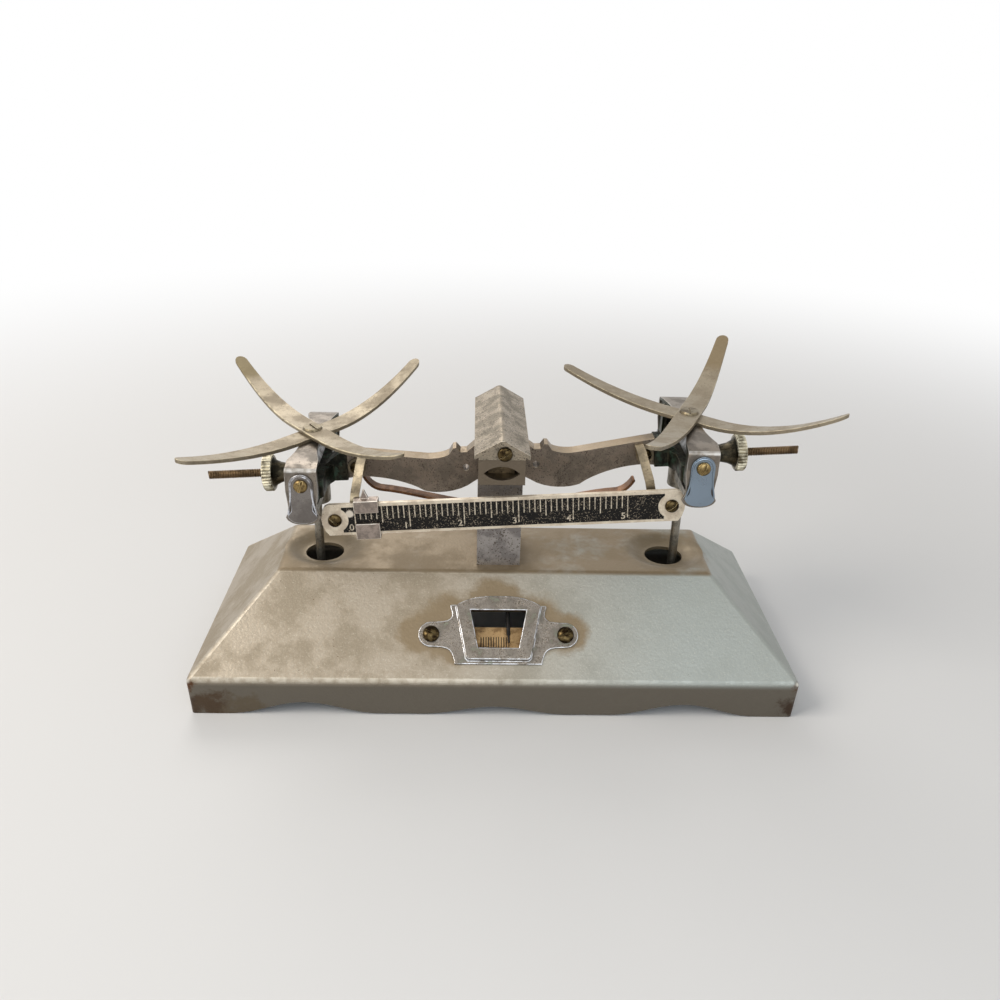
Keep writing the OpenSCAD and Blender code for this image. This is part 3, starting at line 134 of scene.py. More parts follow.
ground = joined(cloth_tree, "ShaderNodeTexCoord")
distance = joined(cloth_tree, "ShaderNodeVectorMath", {0: ground.outputs["Object"]}, operation="LENGTH")
far = joined(cloth_tree, "ShaderNodeMapRange", {"Value": distance.outputs["Value"],
    "From Min": fade_start, "From Max": fade_end}, interpolation_type="SMOOTHSTEP")
faded_out = joined(cloth_tree, "ShaderNodeMath", {0: far.outputs[0], 1: watched.outputs[0]},
    operation="MULTIPLY")
white = joined(cloth_tree, "ShaderNodeEmission")
blend = joined(cloth_tree, "ShaderNodeMixShader", {0: faded_out.outputs[0],
    1: cloth_shader.outputs[0], 2: white.outputs[0]})
cloth_tree.links.new(blend.outputs[0], cloth_tree.nodes["Material Output"].inputs["Surface"])
table_top.data.materials.append(table_cloth)

# The base, one pressed sheet under worn hammered paint: a skirt with arches cut in its lower
# edge, two long slopes and two end slopes up to a flat top, with dished holes for the rods. Part
# of the change from warm to cool paint along it is the light that the object was seen in.
base_len, base_dep, base_h = 210 * mm, 95.4 * mm, 41.6 * mm
skirt_h, skirt_tuck = 15.3 * mm, 1.9 * mm
top_len, top_dep = 154.6 * mm, 34.4 * mm
sheet_t, bend_w = 1.2 * mm, 1.3 * mm
hole_span, hole_r, dish_r, dish_depth = 127 * mm, 7 * mm, 14.5 * mm, 2.4 * mm
foot_len, foot_w = 13 * mm, 10 * mm
outer_arch_len, outer_arch_h = 52 * mm, 5.5 * mm
mid_arch_len, mid_arch_h = 50 * mm, 4 * mm
lobe_lift, end_arch_h = 0.4 * mm, 4 * mm
opening_low, opening_high, opening_foot, opening_head = 11 * mm, 25.5 * mm, 7.6 * mm, 10.3 * mm
slope_angle = math.atan2(base_h - skirt_h, (base_dep - top_dep) / 2)
mech_x = Vector(frame["joints"][0]["pos_m"]).x


def group_of(name, inputs, outputs):
    group = bpy.data.node_groups.new(name, "ShaderNodeTree")
    for label, kind, value in inputs:
        socket = group.interface.new_socket(name=label, in_out="INPUT", socket_type=kind)
        socket.default_value = value
    for label in outputs:
        group.interface.new_socket(name=label, in_out="OUTPUT", socket_type="NodeSocketFloat")
    return group, joined(group, "NodeGroupInput"), joined(group, "NodeGroupOutput")


def per_size(tree, size):
    return joined(tree, "ShaderNodeMath", {0: 1.0, 1: size}, operation="DIVIDE").outputs[0]


FLOAT, VECTOR = "NodeSocketFloat", "NodeSocketVector"

# Cloudy patches of one finish over another, sized in metres
blotches, given, put = group_of("blotches", [("Size", FLOAT, 0.01), ("From", FLOAT, 0.4),
    ("To", FLOAT, 0.6)], ["Mask"])
spot = joined(blotches, "ShaderNodeTexCoord")
cloud = joined(blotches, "ShaderNodeTexNoise", {"Vector": spot.outputs["Object"],
    "Scale": per_size(blotches, given.outputs["Size"]), "Detail": 4.0, "Roughness": 0.65})
patch = joined(blotches, "ShaderNodeMapRange", {"Value": cloud.outputs[0],
    "From Min": given.outputs["From"], "From Max": given.outputs["To"]}, interpolation_type="SMOOTHSTEP")
blotches.links.new(patch.outputs["Result"], put.inputs["Mask"])

# Small ragged pits of uneven size, where plating or polish has gone
pits, given, put = group_of("pits", [("Size", FLOAT, 0.001), ("Cover", FLOAT, 0.3)], ["Mask"])
spot = joined(pits, "ShaderNodeTexCoord")
ruffle = joined(pits, "ShaderNodeTexNoise", {"Vector": spot.outputs["Object"],
    "Scale": per_size(pits, given.outputs["Size"]), "Detail": 3.0})
shifted = joined(pits, "ShaderNodeVectorMath", {0: ruffle.outputs["Color"], 1: (0.0016, 0.0016, 0.0016),
    2: spot.outputs["Object"]}, operation="MULTIPLY_ADD")
cells = joined(pits, "ShaderNodeTexVoronoi", {"Vector": shifted.outputs["Vector"],
    "Scale": per_size(pits, given.outputs["Size"])})
drift = joined(pits, "ShaderNodeTexNoise", {"Vector": spot.outputs["Object"], "Scale": 260.0,
    "Detail": 3.0})
reach = joined(pits, "ShaderNodeMath", {0: drift.outputs[0], 1: given.outputs["Cover"]},
    operation="MULTIPLY")
edge = joined(pits, "ShaderNodeMath", {0: reach.outputs[0], 1: 0.45}, operation="MULTIPLY")
hollow = joined(pits, "ShaderNodeMapRange", {"Value": cells.outputs["Distance"],
    "From Min": reach.outputs[0], "From Max": edge.outputs[0]}, interpolation_type="SMOOTHSTEP")
pits.links.new(hollow.outputs["Result"], put.inputs["Mask"])

# Bright metal along the edges that hands and tools have rubbed
rubbed, given, put = group_of("rubbed_edges", [("Size", FLOAT, 0.004), ("Amount", FLOAT, 0.8)], ["Mask"])
marked = joined(rubbed, "ShaderNodeAttribute", attribute_name="edge")
spot = joined(rubbed, "ShaderNodeTexCoord")
broken = joined(rubbed, "ShaderNodeTexNoise", {"Vector": spot.outputs["Object"],
    "Scale": per_size(rubbed, given.outputs["Size"]), "Detail": 5.0})
kept = joined(rubbed, "ShaderNodeMapRange", {"Value": broken.outputs[0], "From Min": 0.36,
    "From Max": 0.58})
share = joined(rubbed, "ShaderNodeMath", {0: kept.outputs[0], 1: marked.outputs["Fac"]},
    operation="MULTIPLY")
amount = joined(rubbed, "ShaderNodeMath", {0: share.outputs[0], 1: given.outputs["Amount"]},
    operation="MULTIPLY")
rubbed.links.new(amount.outputs[0], put.inputs["Mask"])

# A patch round one point with a ragged outline, used for stains and also for painted shade
stain_and_shade_mask, given, put = group_of("stain_and_shade_mask", [("Centre", VECTOR, (0, 0, 0)), ("Reach", FLOAT, 0.02),
    ("Ragged", FLOAT, 0.6)], ["Mask"])
spot = joined(stain_and_shade_mask, "ShaderNodeTexCoord")
apart = joined(stain_and_shade_mask, "ShaderNodeVectorMath", {0: spot.outputs["Object"],
    1: given.outputs["Centre"]}, operation="DISTANCE")
nearness = joined(stain_and_shade_mask, "ShaderNodeMapRange", {"Value": apart.outputs["Value"], "From Min": 0.0,
    "From Max": given.outputs["Reach"], "To Min": 1.0, "To Max": 0.0})
torn = joined(stain_and_shade_mask, "ShaderNodeTexNoise", {"Vector": spot.outputs["Object"], "Scale": 190.0,
    "Detail": 6.0, "Roughness": 0.7})
gap = joined(stain_and_shade_mask, "ShaderNodeMath", {0: torn.outputs[0], 1: given.outputs["Ragged"]},
    operation="MULTIPLY")
left = joined(stain_and_shade_mask, "ShaderNodeMath", {0: nearness.outputs[0], 1: gap.outputs[0]},
    operation="SUBTRACT")
faded = joined(stain_and_shade_mask, "ShaderNodeMapRange", {"Value": left.outputs[0], "From Min": 0.02,
    "From Max": 0.3}, interpolation_type="SMOOTHSTEP")
stain_and_shade_mask.links.new(faded.outputs["Result"], put.inputs["Mask"])

# Hammered or cast grain, as a height
grain, given, put = group_of("grain", [("Size", FLOAT, 0.001), ("Soft", FLOAT, 0.5)], ["Height"])
spot = joined(grain, "ShaderNodeTexCoord")
lumps = joined(grain, "ShaderNodeTexNoise", {"Vector": spot.outputs["Object"],
    "Scale": per_size(grain, given.outputs["Size"]), "Detail": 4.0, "Roughness": given.outputs["Soft"]})
grain.links.new(lumps.outputs[0], put.inputs["Height"])


def use(tree, group, **values):
    return joined(tree, "ShaderNodeGroup", {k.capitalize(): v for k, v in values.items()}, node_tree=group)


# Colours are written as they look on a screen, and the shaders take them as amounts of light
def rgba(colour):
    return (*(part ** 2.2 for part in colour), 1)


def mixed(tree, mask, low, high):
    mix = joined(tree, "ShaderNodeMix", {0: mask}, data_type="RGBA")
    for index, side in ((6, low), (7, high)):
        if isinstance(side, bpy.types.NodeSocket):
            tree.links.new(side, mix.inputs[index])
        else:
            mix.inputs[index].default_value = rgba(side)
    return mix.outputs[2]


# One worn metal or paint finish: cloudy tone, pits, rubbed edges and a grain
def finish(name, colour, shade, bright, metallic=1.0, roughness=0.32, cloud_size=7 * mm,
        pit_size=1.1 * mm, pit_cover=0.4, pit_colour=(0.09, 0.075, 0.06), edge_wear=0.8,
        grain_size=0.5 * mm, depth=0.05 * mm, coat=0.0):
    material = bpy.data.materials.new(name)
    material.use_nodes = True
    tree = material.node_tree
    shader = tree.nodes["Principled BSDF"]
    cloudy = use(tree, blotches, size=cloud_size, to=0.62)
    pitted = use(tree, pits, size=pit_size, cover=pit_cover)
    worn = use(tree, rubbed, size=3 * mm, amount=edge_wear)
    tone = mixed(tree, cloudy.outputs[0], colour, shade)
    tone = mixed(tree, pitted.outputs[0], tone, pit_colour)
    tree.links.new(mixed(tree, worn.outputs[0], tone, bright), shader.inputs["Base Color"])
    rough = joined(tree, "ShaderNodeMapRange", {"Value": cloudy.outputs[0], "To Min": roughness,
        "To Max": min(roughness + 0.18, 1)})
    tree.links.new(rough.outputs[0], shader.inputs["Roughness"])
    lumpy = use(tree, grain, size=grain_size)
    low = joined(tree, "ShaderNodeMath", {0: pitted.outputs[0], 1: -0.6, 2: lumpy.outputs[0]},
        operation="MULTIPLY_ADD")
    bump = joined(tree, "ShaderNodeBump", {"Height": low.outputs[0], "Distance": depth, "Strength": 1.0})
    tree.links.new(bump.outputs[0], shader.inputs["Normal"])
    shader.inputs["Metallic"].default_value = metallic
    shader.inputs["Coat Weight"].default_value = coat
    return material


# Lays another colour over a finish where a mask says so
def overlaid(material, mask, colour):
    tree = material.node_tree
    socket = tree.nodes["Principled BSDF"].inputs["Base Color"]
    tree.links.new(mixed(tree, mask, socket.links[0].from_socket, colour), socket)


def stained(material, colour, centre, reach, ragged=0.6):
    spread = use(material.node_tree, stain_and_shade_mask, centre=centre, reach=reach, ragged=ragged)
    overlaid(material, spread.outputs[0], colour)


# Ranges a height, a depth or a facing into a mask
def banded(tree, value, low, high):
    return joined(tree, "ShaderNodeMapRange", {"Value": value, "From Min": low, "From Max": high},
        interpolation_type="SMOOTHSTEP").outputs["Result"]


def part_of(tree, output, axis):
    coords = joined(tree, "ShaderNodeTexCoord")
    return joined(tree, "ShaderNodeSeparateXYZ", {0: coords.outputs[output]}).outputs[axis]


# Puts a finished mesh on its body, in place of the node that it stands for
def fitted(name, mesh, material, body, *nodes, slot=None):
    piece = bpy.data.objects.new(name, mesh)
    bpy.context.scene.collection.objects.link(piece)
    mesh.materials.clear()
    mesh.materials.append(material)
    for face in mesh.polygons:
        face.use_smooth = True
    mesh.set_sharp_from_angle(angle=math.radians(42))
    even = piece.modifiers.new("even_shading", "WEIGHTED_NORMAL")
    even.keep_sharp = True
    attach(piece, body)
    if nodes:
        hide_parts(*nodes)
    return piece


def arch_at(x):
    out_end = base_len / 2 - foot_len
    out_start = out_end - outer_arch_len
    if x < mid_arch_len / 2:
        return lobe_lift + (mid_arch_h - lobe_lift) * (1 + math.cos(2 * math.pi * x / mid_arch_len)) / 2
    if x < out_start:
        return lobe_lift
    wave = (1 - math.cos(2 * math.pi * (x - out_start) / outer_arch_len)) / 2
    if x < out_start + outer_arch_len / 2:
        return lobe_lift + (outer_arch_h - lobe_lift) * wave
    return outer_arch_h * wave if x < out_end else 0


def end_arch_at(y):
    half = base_dep / 2 - foot_w
    return end_arch_h * (1 + math.cos(math.pi * y / half)) / 2 if y < half else 0


shell = bmesh.new()
bmesh.ops.create_cube(shell, size=1, matrix=Matrix.LocRotScale((0, 0, skirt_h / 2), None,
    (base_len, base_dep, skirt_h)))
lid = max(shell.faces, key=lambda face: face.calc_center_median().z)
raised = bmesh.ops.extrude_discrete_faces(shell, faces=[lid])["faces"][0]
bmesh.ops.scale(shell, vec=(top_len / base_len, top_dep / base_dep, 1), verts=raised.verts)
bmesh.ops.translate(shell, vec=(0, 0, base_h - skirt_h), verts=raised.verts)
floor_face = min(shell.faces, key=lambda face: face.calc_center_median().z)
bmesh.ops.delete(shell, geom=[floor_face], context="FACES_ONLY")
for vert in shell.verts:
    if vert.co.z < mm / 10:
        vert.co.y -= math.copysign(skirt_tuck, vert.co.y)
rubbed_faces = shell.faces.layers.float.new("edge")
bent = bmesh.ops.bevel(shell, geom=[e for e in shell.edges if not e.is_boundary], offset=bend_w,
    segments=5, profile=0.5, affect="EDGES", material=-1)
for face in bent["faces"]:
    face[rubbed_faces] = 1
steps = 64
for i in range(1, steps):
    for along, half in (((1, 0, 0), base_len / 2 - 2 * mm), ((0, 1, 0), base_dep / 2 - foot_w)):
        skirt = [f for f in shell.faces if max(v.co.z for v in f.verts) < skirt_h]
        cut = set(skirt) | {e for f in skirt for e in f.edges} | {v for f in skirt for v in f.verts}
        bmesh.ops.bisect_plane(shell, geom=list(cut), plane_no=along,
            plane_co=Vector(along) * half * (2 * i / steps - 1), dist=mm / 1000)
for vert in shell.verts:
    if vert.is_boundary:
        front = abs(vert.co.y) > base_dep / 2 - skirt_tuck - 0.1 * mm
        rise = arch_at(abs(vert.co.x)) if front else end_arch_at(abs(vert.co.y))
        vert.co.z = rise
        if front:
            vert.co.y += math.copysign(skirt_tuck * rise / skirt_h, vert.co.y)
bmesh.ops.recalc_face_normals(shell, faces=shell.faces)
shell_mesh = bpy.data.meshes.new("base")
shell.to_mesh(shell_mesh)

# The cutters: a round opening for each dished rod hole, and the window's, square to the slope
cutter = bmesh.new()
for side in (-1, 1):
    bmesh.ops.create_cone(cutter, segments=96, cap_ends=True, radius1=dish_r, radius2=dish_r,
        depth=8 * mm, matrix=Matrix.Translation((side * hole_span / 2, 0, base_h)))
on_slope = Matrix.Translation((mech_x, -base_dep / 2, skirt_h)) @ Matrix.Rotation(slope_angle, 4, "X")
window = [(-opening_foot, opening_low), (opening_foot, opening_low), (opening_head, opening_high),
    (-opening_head, opening_high)]
pane = cutter.faces.new([cutter.verts.new(on_slope @ Vector((x, y, -5 * mm))) for x, y in window])
prism = bmesh.ops.extrude_face_region(cutter, geom=[pane])["geom"]
bmesh.ops.translate(cutter, vec=on_slope.to_3x3() @ Vector((0, 0, 9 * mm)),
    verts=[v for v in prism if isinstance(v, bmesh.types.BMVert)])
bmesh.ops.remove_doubles(cutter, verts=cutter.verts, dist=mm / 1000)
bmesh.ops.recalc_face_normals(cutter, faces=cutter.faces)
cutter_mesh = bpy.data.meshes.new("cutter")
cutter.to_mesh(cutter_mesh)
cutter_piece = bpy.data.objects.new("cutter", cutter_mesh)
bpy.context.scene.collection.objects.link(cutter_piece)
draft = bpy.data.objects.new("draft", shell_mesh)
bpy.context.scene.collection.objects.link(draft)
wall = draft.modifiers.new("sheet", "SOLIDIFY")
wall.thickness = sheet_t
wall.offset = -1
wall.use_even_offset = True
holes = draft.modifiers.new("holes", "BOOLEAN")
holes.object = cutter_piece
holes.solver = "EXACT"
bpy.context.view_layer.update()
cut_shell = bpy.data.meshes.new_from_object(draft.evaluated_get(bpy.context.evaluated_depsgraph_get()))
bpy.data.objects.remove(draft)
bpy.data.objects.remove(cutter_piece)

# Each dish is pressed down in a soft curve to the edge of its hole
pressed = bmesh.new()
pressed.from_mesh(cut_shell)
for side in (-1, 1):
    middle = Vector((side * hole_span / 2, 0, base_h))
    curve = [(dish_r + (hole_r - dish_r) * t, -dish_depth * (3 * t * t - 2 * t ** 3))
        for t in (i / 12 for i in range(13))]
    under = [(radius, height - sheet_t) for radius, height in reversed(curve)]
    section = [pressed.verts.new(middle + Vector((radius, 0, height))) for radius, height in curve + under]
    outline = [pressed.edges.new(pair) for pair in zip(section, section[1:] + section[:1])]
    bmesh.ops.spin(pressed, geom=section + outline, axis=(0, 0, 1), cent=middle, angle=2 * math.pi,
        steps=96, use_merge=True)
    turned = [f for f in pressed.faces if (f.calc_center_median() - middle).xy.length < dish_r]
    bmesh.ops.recalc_face_normals(pressed, faces=turned)
pressed.to_mesh(cut_shell)

hammered_paint = finish("hammered_paint", (0.61, 0.565, 0.5), (0.54, 0.495, 0.425), (0.8, 0.77, 0.71),
    metallic=0.55, roughness=0.4, cloud_size=16 * mm, pit_size=3 * mm, pit_cover=0.12,
    pit_colour=(0.4, 0.3, 0.2), grain_size=1.1 * mm, depth=0.11 * mm, edge_wear=0.4)
paint = hammered_paint.node_tree
overlaid(hammered_paint, banded(paint, part_of(paint, "Object", "X"), -30 * mm, 75 * mm),
    (0.585, 0.6, 0.58))
speckled = use(paint, grain, size=0.6 * mm, soft=0.8)
overlaid(hammered_paint, banded(paint, speckled.outputs[0], 0.5, 0.95), (0.78, 0.76, 0.7))
# Painted shade: the paint is darkened below the top of the skirt, standing for the shade it sits in while
# facing a dark table.
overlaid(hammered_paint, banded(paint, part_of(paint, "Object", "Z"), 15.2 * mm, 12.5 * mm),
    (0.41, 0.385, 0.345))
tanned = use(paint, blotches, size=24 * mm, to=0.5)
tanned.inputs["From"].default_value = 0.25
on_top = joined(paint, "ShaderNodeMath", {0: tanned.outputs[0],
    1: banded(paint, part_of(paint, "Object", "Z"), 40.5 * mm, 41.4 * mm)}, operation="MULTIPLY")
overlaid(hammered_paint, on_top.outputs[0], (0.5, 0.44, 0.35))
rust = (0.33, 0.21, 0.11)
for x, y, z, reach in ((-14, -33, 27, 21), (14, -32, 29, 17), (0, -27, 33, 17), (1, -1, 42, 20),
        (-27, -34, 26, 12), (25, -34, 26, 12), (-14, -40, 22, 7)):
    stained(hammered_paint, (0.49, 0.43, 0.34), (x * mm, y * mm, z * mm), reach * mm, 0.5)
for side in (-1, 1):
    stained(hammered_paint, (0.46, 0.41, 0.33), (side * hole_span / 2, 0, base_h), 25 * mm, 0.5)
    for y in (-1, 1):
        corner = (side * base_len / 2, y * base_dep / 2)
        stained(hammered_paint, (0.25, 0.19, 0.14), (*corner, 4 * mm), 15 * mm, 1.1)
        stained(hammered_paint, rust, (*corner, 13 * mm), 9 * mm, 1.2)
        stained(hammered_paint, (0.85, 0.84, 0.8), (*corner, 15 * mm), 3.5 * mm, 1.0)
stained(hammered_paint, (0.31, 0.25, 0.19), (-97 * mm, -46 * mm, 4 * mm), 20 * mm, 1.1)
stained(hammered_paint, (0.38, 0.34, 0.28), (-86 * mm, -46 * mm, 1 * mm), 20 * mm, 1.0)
fitted("base", cut_shell, hammered_paint, "base", "base_shell")


# Gives a finish to solids that are shown as they are
def coated(material, *nodes):
    for node in nodes:
        frame["nodes"][node].data.materials.clear()
        frame["nodes"][node].data.materials.append(material)


# Copies a node's solid, welds its triangles into whole faces and rounds its sharp edges, as
# tumbling, filing and wear leave them. The rounded faces are marked for the rubbed look.
def rounded(node, width, material, segments=2, fold=None, fold_width=0, sharp=32):
    body = frame["nodes"][node]["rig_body"]
    bm = bmesh.new()
    bm.from_mesh(frame["nodes"][node].data)
    bmesh.ops.remove_doubles(bm, verts=bm.verts, dist=mm / 500)
    bmesh.ops.dissolve_limit(bm, angle_limit=math.radians(1), verts=bm.verts, edges=bm.edges)
    layer = bm.faces.layers.float.new("edge")
    bends = [e for e in bm.edges if fold and fold(e.verts[0].co, e.verts[1].co)]
    if bends:
        made = bmesh.ops.bevel(bm, geom=bends, offset=fold_width, segments=5, profile=0.5,
            affect="EDGES", material=-1, clamp_overlap=True)
        for face in made["faces"]:
            face[layer] = 1
    corners = [e for e in bm.edges if e.is_manifold and e.calc_face_angle(0) > math.radians(sharp)]
    made = bmesh.ops.bevel(bm, geom=corners, offset=width, segments=segments, profile=0.5,
        affect="EDGES", material=-1, clamp_overlap=True)
    for face in made["faces"]:
        face[layer] = 1
    mesh = bpy.data.meshes.new(node + "_made")
    bm.to_mesh(mesh)
    return fitted(node + "_made", mesh, material, body, node)


# The window, a pressed chromed frame with ears and slotted screws, over a brass dial plate
# whose graduations the pointer's tip crosses.
pitted_chrome = finish("pitted_chrome", (0.52, 0.49, 0.455), (0.42, 0.395, 0.365), (0.88, 0.89, 0.91),
    roughness=0.26, cloud_size=5 * mm, pit_size=0.55 * mm, pit_cover=0.85, edge_wear=0.7,
    pit_colour=(0.36, 0.33, 0.29), depth=0.06 * mm)
chrome = pitted_chrome.node_tree
verdigris = use(chrome, blotches, size=5 * mm)
verdigris.inputs["From"].default_value = 0.56
verdigris.inputs["To"].default_value = 0.72
overlaid(pitted_chrome, verdigris.outputs[0], (0.46, 0.47, 0.41))
rounded("window_frame", 0.65 * mm, pitted_chrome, segments=4)
dark_screw = finish("dark_screw", (0.34, 0.29, 0.2), (0.14, 0.11, 0.08), (0.72, 0.64, 0.48),
    roughness=0.3, cloud_size=2 * mm, pit_cover=0.5)
for side in ("left", "right"):
    rounded("window_screw_" + side, 0.15 * mm, dark_screw)

dial_tan = finish("dial_tan", (0.66, 0.54, 0.38), (0.52, 0.41, 0.28), (0.8, 0.7, 0.5), roughness=0.45,
    metallic=0.7, cloud_size=4 * mm, pit_size=0.9 * mm, pit_cover=0.4)
rounded("dial_plate", 0.1 * mm, dial_tan)
dial_face, mark_count, mark_pitch, mark_shift = -6.7 * mm, 12, 0.9 * mm, -1 * mm
mark_up, mark_w, mark_len, mark_t = 15.4 * mm, 0.32 * mm, 4.6 * mm, 0.04 * mm
graduations = bmesh.new()
for i in range(mark_count):
    mark_x = (i - (mark_count - 1) / 2) * mark_pitch + mark_shift
    place = Matrix.LocRotScale((mark_x, mark_up, dial_face + mark_t / 2), None,
        (mark_w, mark_len, mark_t))
    bmesh.ops.create_cube(graduations, size=1, matrix=on_slope @ place)
graduation_mesh = bpy.data.meshes.new("dial_graduations")
graduations.to_mesh(graduation_mesh)
etched_brown = finish("etched_brown", (0.12, 0.07, 0.035), (0.2, 0.13, 0.07), (0.3, 0.2, 0.1),
    metallic=0.2, roughness=0.7)
fitted("dial_graduations", graduation_mesh, etched_brown, "base", slot="dial_brass")

# The post, a hollow casting with a lens-shaped eye in each arm, and the folded roof cap that
# is screwed over its head to keep dust off the centre knife.
post_metal = finish("post_metal", (0.62, 0.6, 0.585), (0.5, 0.48, 0.47), (0.9, 0.86, 0.78),
    roughness=0.34, cloud_size=5 * mm, pit_size=0.9 * mm, pit_cover=0.7, grain_size=0.45 * mm,
    depth=0.07 * mm, pit_colour=(0.36, 0.33, 0.3))
post_tree = post_metal.node_tree
overlaid(post_metal, banded(post_tree, part_of(post_tree, "Object", "Z"), 74 * mm, 80 * mm),
    (0.42, 0.38, 0.33))
# Painted shadow: a near-black patch on the front of the head, below and into the front eye, for the shade
# under its overhang.
stained(post_metal, (0.07, 0.06, 0.05), (mech_x, -26 * mm, 76 * mm), 8 * mm, 0.9)
rounded("post", 0.45 * mm, post_metal)
cap_metal = finish("cap_metal", (0.58, 0.535, 0.47), (0.48, 0.45, 0.4), (0.9, 0.86, 0.78),
    roughness=0.38, cloud_size=6 * mm, pit_size=0.7 * mm, pit_cover=0.9, grain_size=0.5 * mm,
    depth=0.12 * mm, pit_colour=(0.36, 0.33, 0.29))
rounded("roof_cap", 0.35 * mm, cap_metal)
for side in ("front", "rear"):
    rounded("cap_screw_" + side, 0.15 * mm, dark_screw)

# The works in the post and under the base: steel knives, tan bearings, the copper-brown strip
# that stops the beam, and the lower link on its bracket, which holds the pan rods upright.
ground_steel = finish("ground_steel", (0.5, 0.5, 0.5), (0.36, 0.35, 0.34), (0.8, 0.8, 0.8),
    roughness=0.28, cloud_size=4 * mm, pit_cover=0.3, edge_wear=0)
coated(ground_steel, "centre_knife", "end_knife_left", "end_knife_right", "end_bearing_left_front",
    "end_bearing_left_rear", "end_bearing_right_front", "end_bearing_right_rear", "pivot_pin",
    "link_bracket", "post_screw_left", "post_screw_right")
black_wire = finish("black_wire", (0.13, 0.11, 0.09), (0.07, 0.06, 0.05), (0.2, 0.17, 0.13),
    roughness=0.55, metallic=0.4, cloud_size=3 * mm, edge_wear=0)
coated(black_wire, "pointer")
bearing_tan = finish("bearing_tan", (0.5, 0.44, 0.35), (0.38, 0.33, 0.26), (0.7, 0.63, 0.5),
    roughness=0.4, cloud_size=3 * mm, pit_cover=0.4, edge_wear=0)
coated(bearing_tan, "centre_bearing_front", "centre_bearing_rear")
copper_brown = finish("copper_brown", (0.45, 0.33, 0.24), (0.34, 0.25, 0.19), (0.76, 0.52, 0.35),
    roughness=0.36, cloud_size=7 * mm, pit_cover=0.4)
rounded("stop_strip", 0.25 * mm, copper_brown)
dull_steel = finish("dull_steel", (0.42, 0.41, 0.38), (0.26, 0.25, 0.22), (0.66, 0.64, 0.6),
    roughness=0.4, pit_cover=0.45)
rounded("lower_link", 0.3 * mm, dull_steel)

# The beam, a thin iron casting, filed bright and tarnished tan along its top edge, with a
# brass block let in at each end that carries the end knife and the threaded rod.
cast_grey = finish("cast_grey", (0.54, 0.495, 0.45), (0.44, 0.405, 0.365), (0.78, 0.72, 0.62),
    roughness=0.36, cloud_size=6 * mm, pit_size=0.7 * mm, pit_cover=0.75, grain_size=0.5 * mm,
    depth=0.08 * mm, pit_colour=(0.3, 0.27, 0.24))
cast_tree = cast_grey.node_tree
top_edge = joined(cast_tree, "ShaderNodeMath", {0: banded(cast_tree, part_of(cast_tree, "Normal", "Z"),
    0.35, 0.75), 1: banded(cast_tree, part_of(cast_tree, "Object", "Z"), 77.6 * mm, 78.4 * mm)},
    operation="MULTIPLY")
overlaid(cast_grey, top_edge.outputs[0], (0.57, 0.51, 0.43))
rounded("beam_casting", 0.6 * mm, cast_grey, segments=3)
green_brass = finish("green_brass", (0.23, 0.22, 0.18), (0.12, 0.125, 0.105), (0.42, 0.41, 0.34),
    metallic=0.75, roughness=0.42, cloud_size=4 * mm, pit_size=1.4 * mm, pit_cover=0.6,
    grain_size=0.8 * mm, depth=0.09 * mm, edge_wear=0.5)
green = use(green_brass.node_tree, blotches, size=3.5 * mm)
green.inputs["From"].default_value = 0.5
green.inputs["To"].default_value = 0.68
overlaid(green_brass, green.outputs[0], (0.26, 0.33, 0.28))
for side in ("left", "right"):
    rounded("end_block_" + side, 0.6 * mm, green_brass, segments=3)

# The balance nuts: brass, worn plating, a straight-knurled rim and a trumpet-shaped hub that
# runs on a threaded rod, rusty brown, screwed into the end block.
tilt = math.radians(3.6)
knife_edge = Vector(frame["joints"][0]["pos_m"])
in_beam = Matrix.Translation(knife_edge) @ Matrix.Rotation(-tilt, 4, "Y")
thread_r, thread_z, thread_pitch = 1.5 * mm, -6.6 * mm, 0.6 * mm
block_end, nut_r, rim_w, hub_len, hub_r = 71.2 * mm, 6.7 * mm, 3.6 * mm, 6.8 * mm, 3.1 * mm
knurls = 36
rod_brown = finish("rod_brown", (0.5, 0.42, 0.32), (0.36, 0.3, 0.23), (0.66, 0.54, 0.38),
    roughness=0.42, cloud_size=3 * mm, pit_size=0.8 * mm, pit_cover=0.5)
nut_plate = finish("nut_plate", (0.36, 0.33, 0.27), (0.22, 0.21, 0.18), (0.8, 0.77, 0.68),
    roughness=0.34, cloud_size=3 * mm, pit_size=1 * mm, pit_cover=0.5, edge_wear=1)
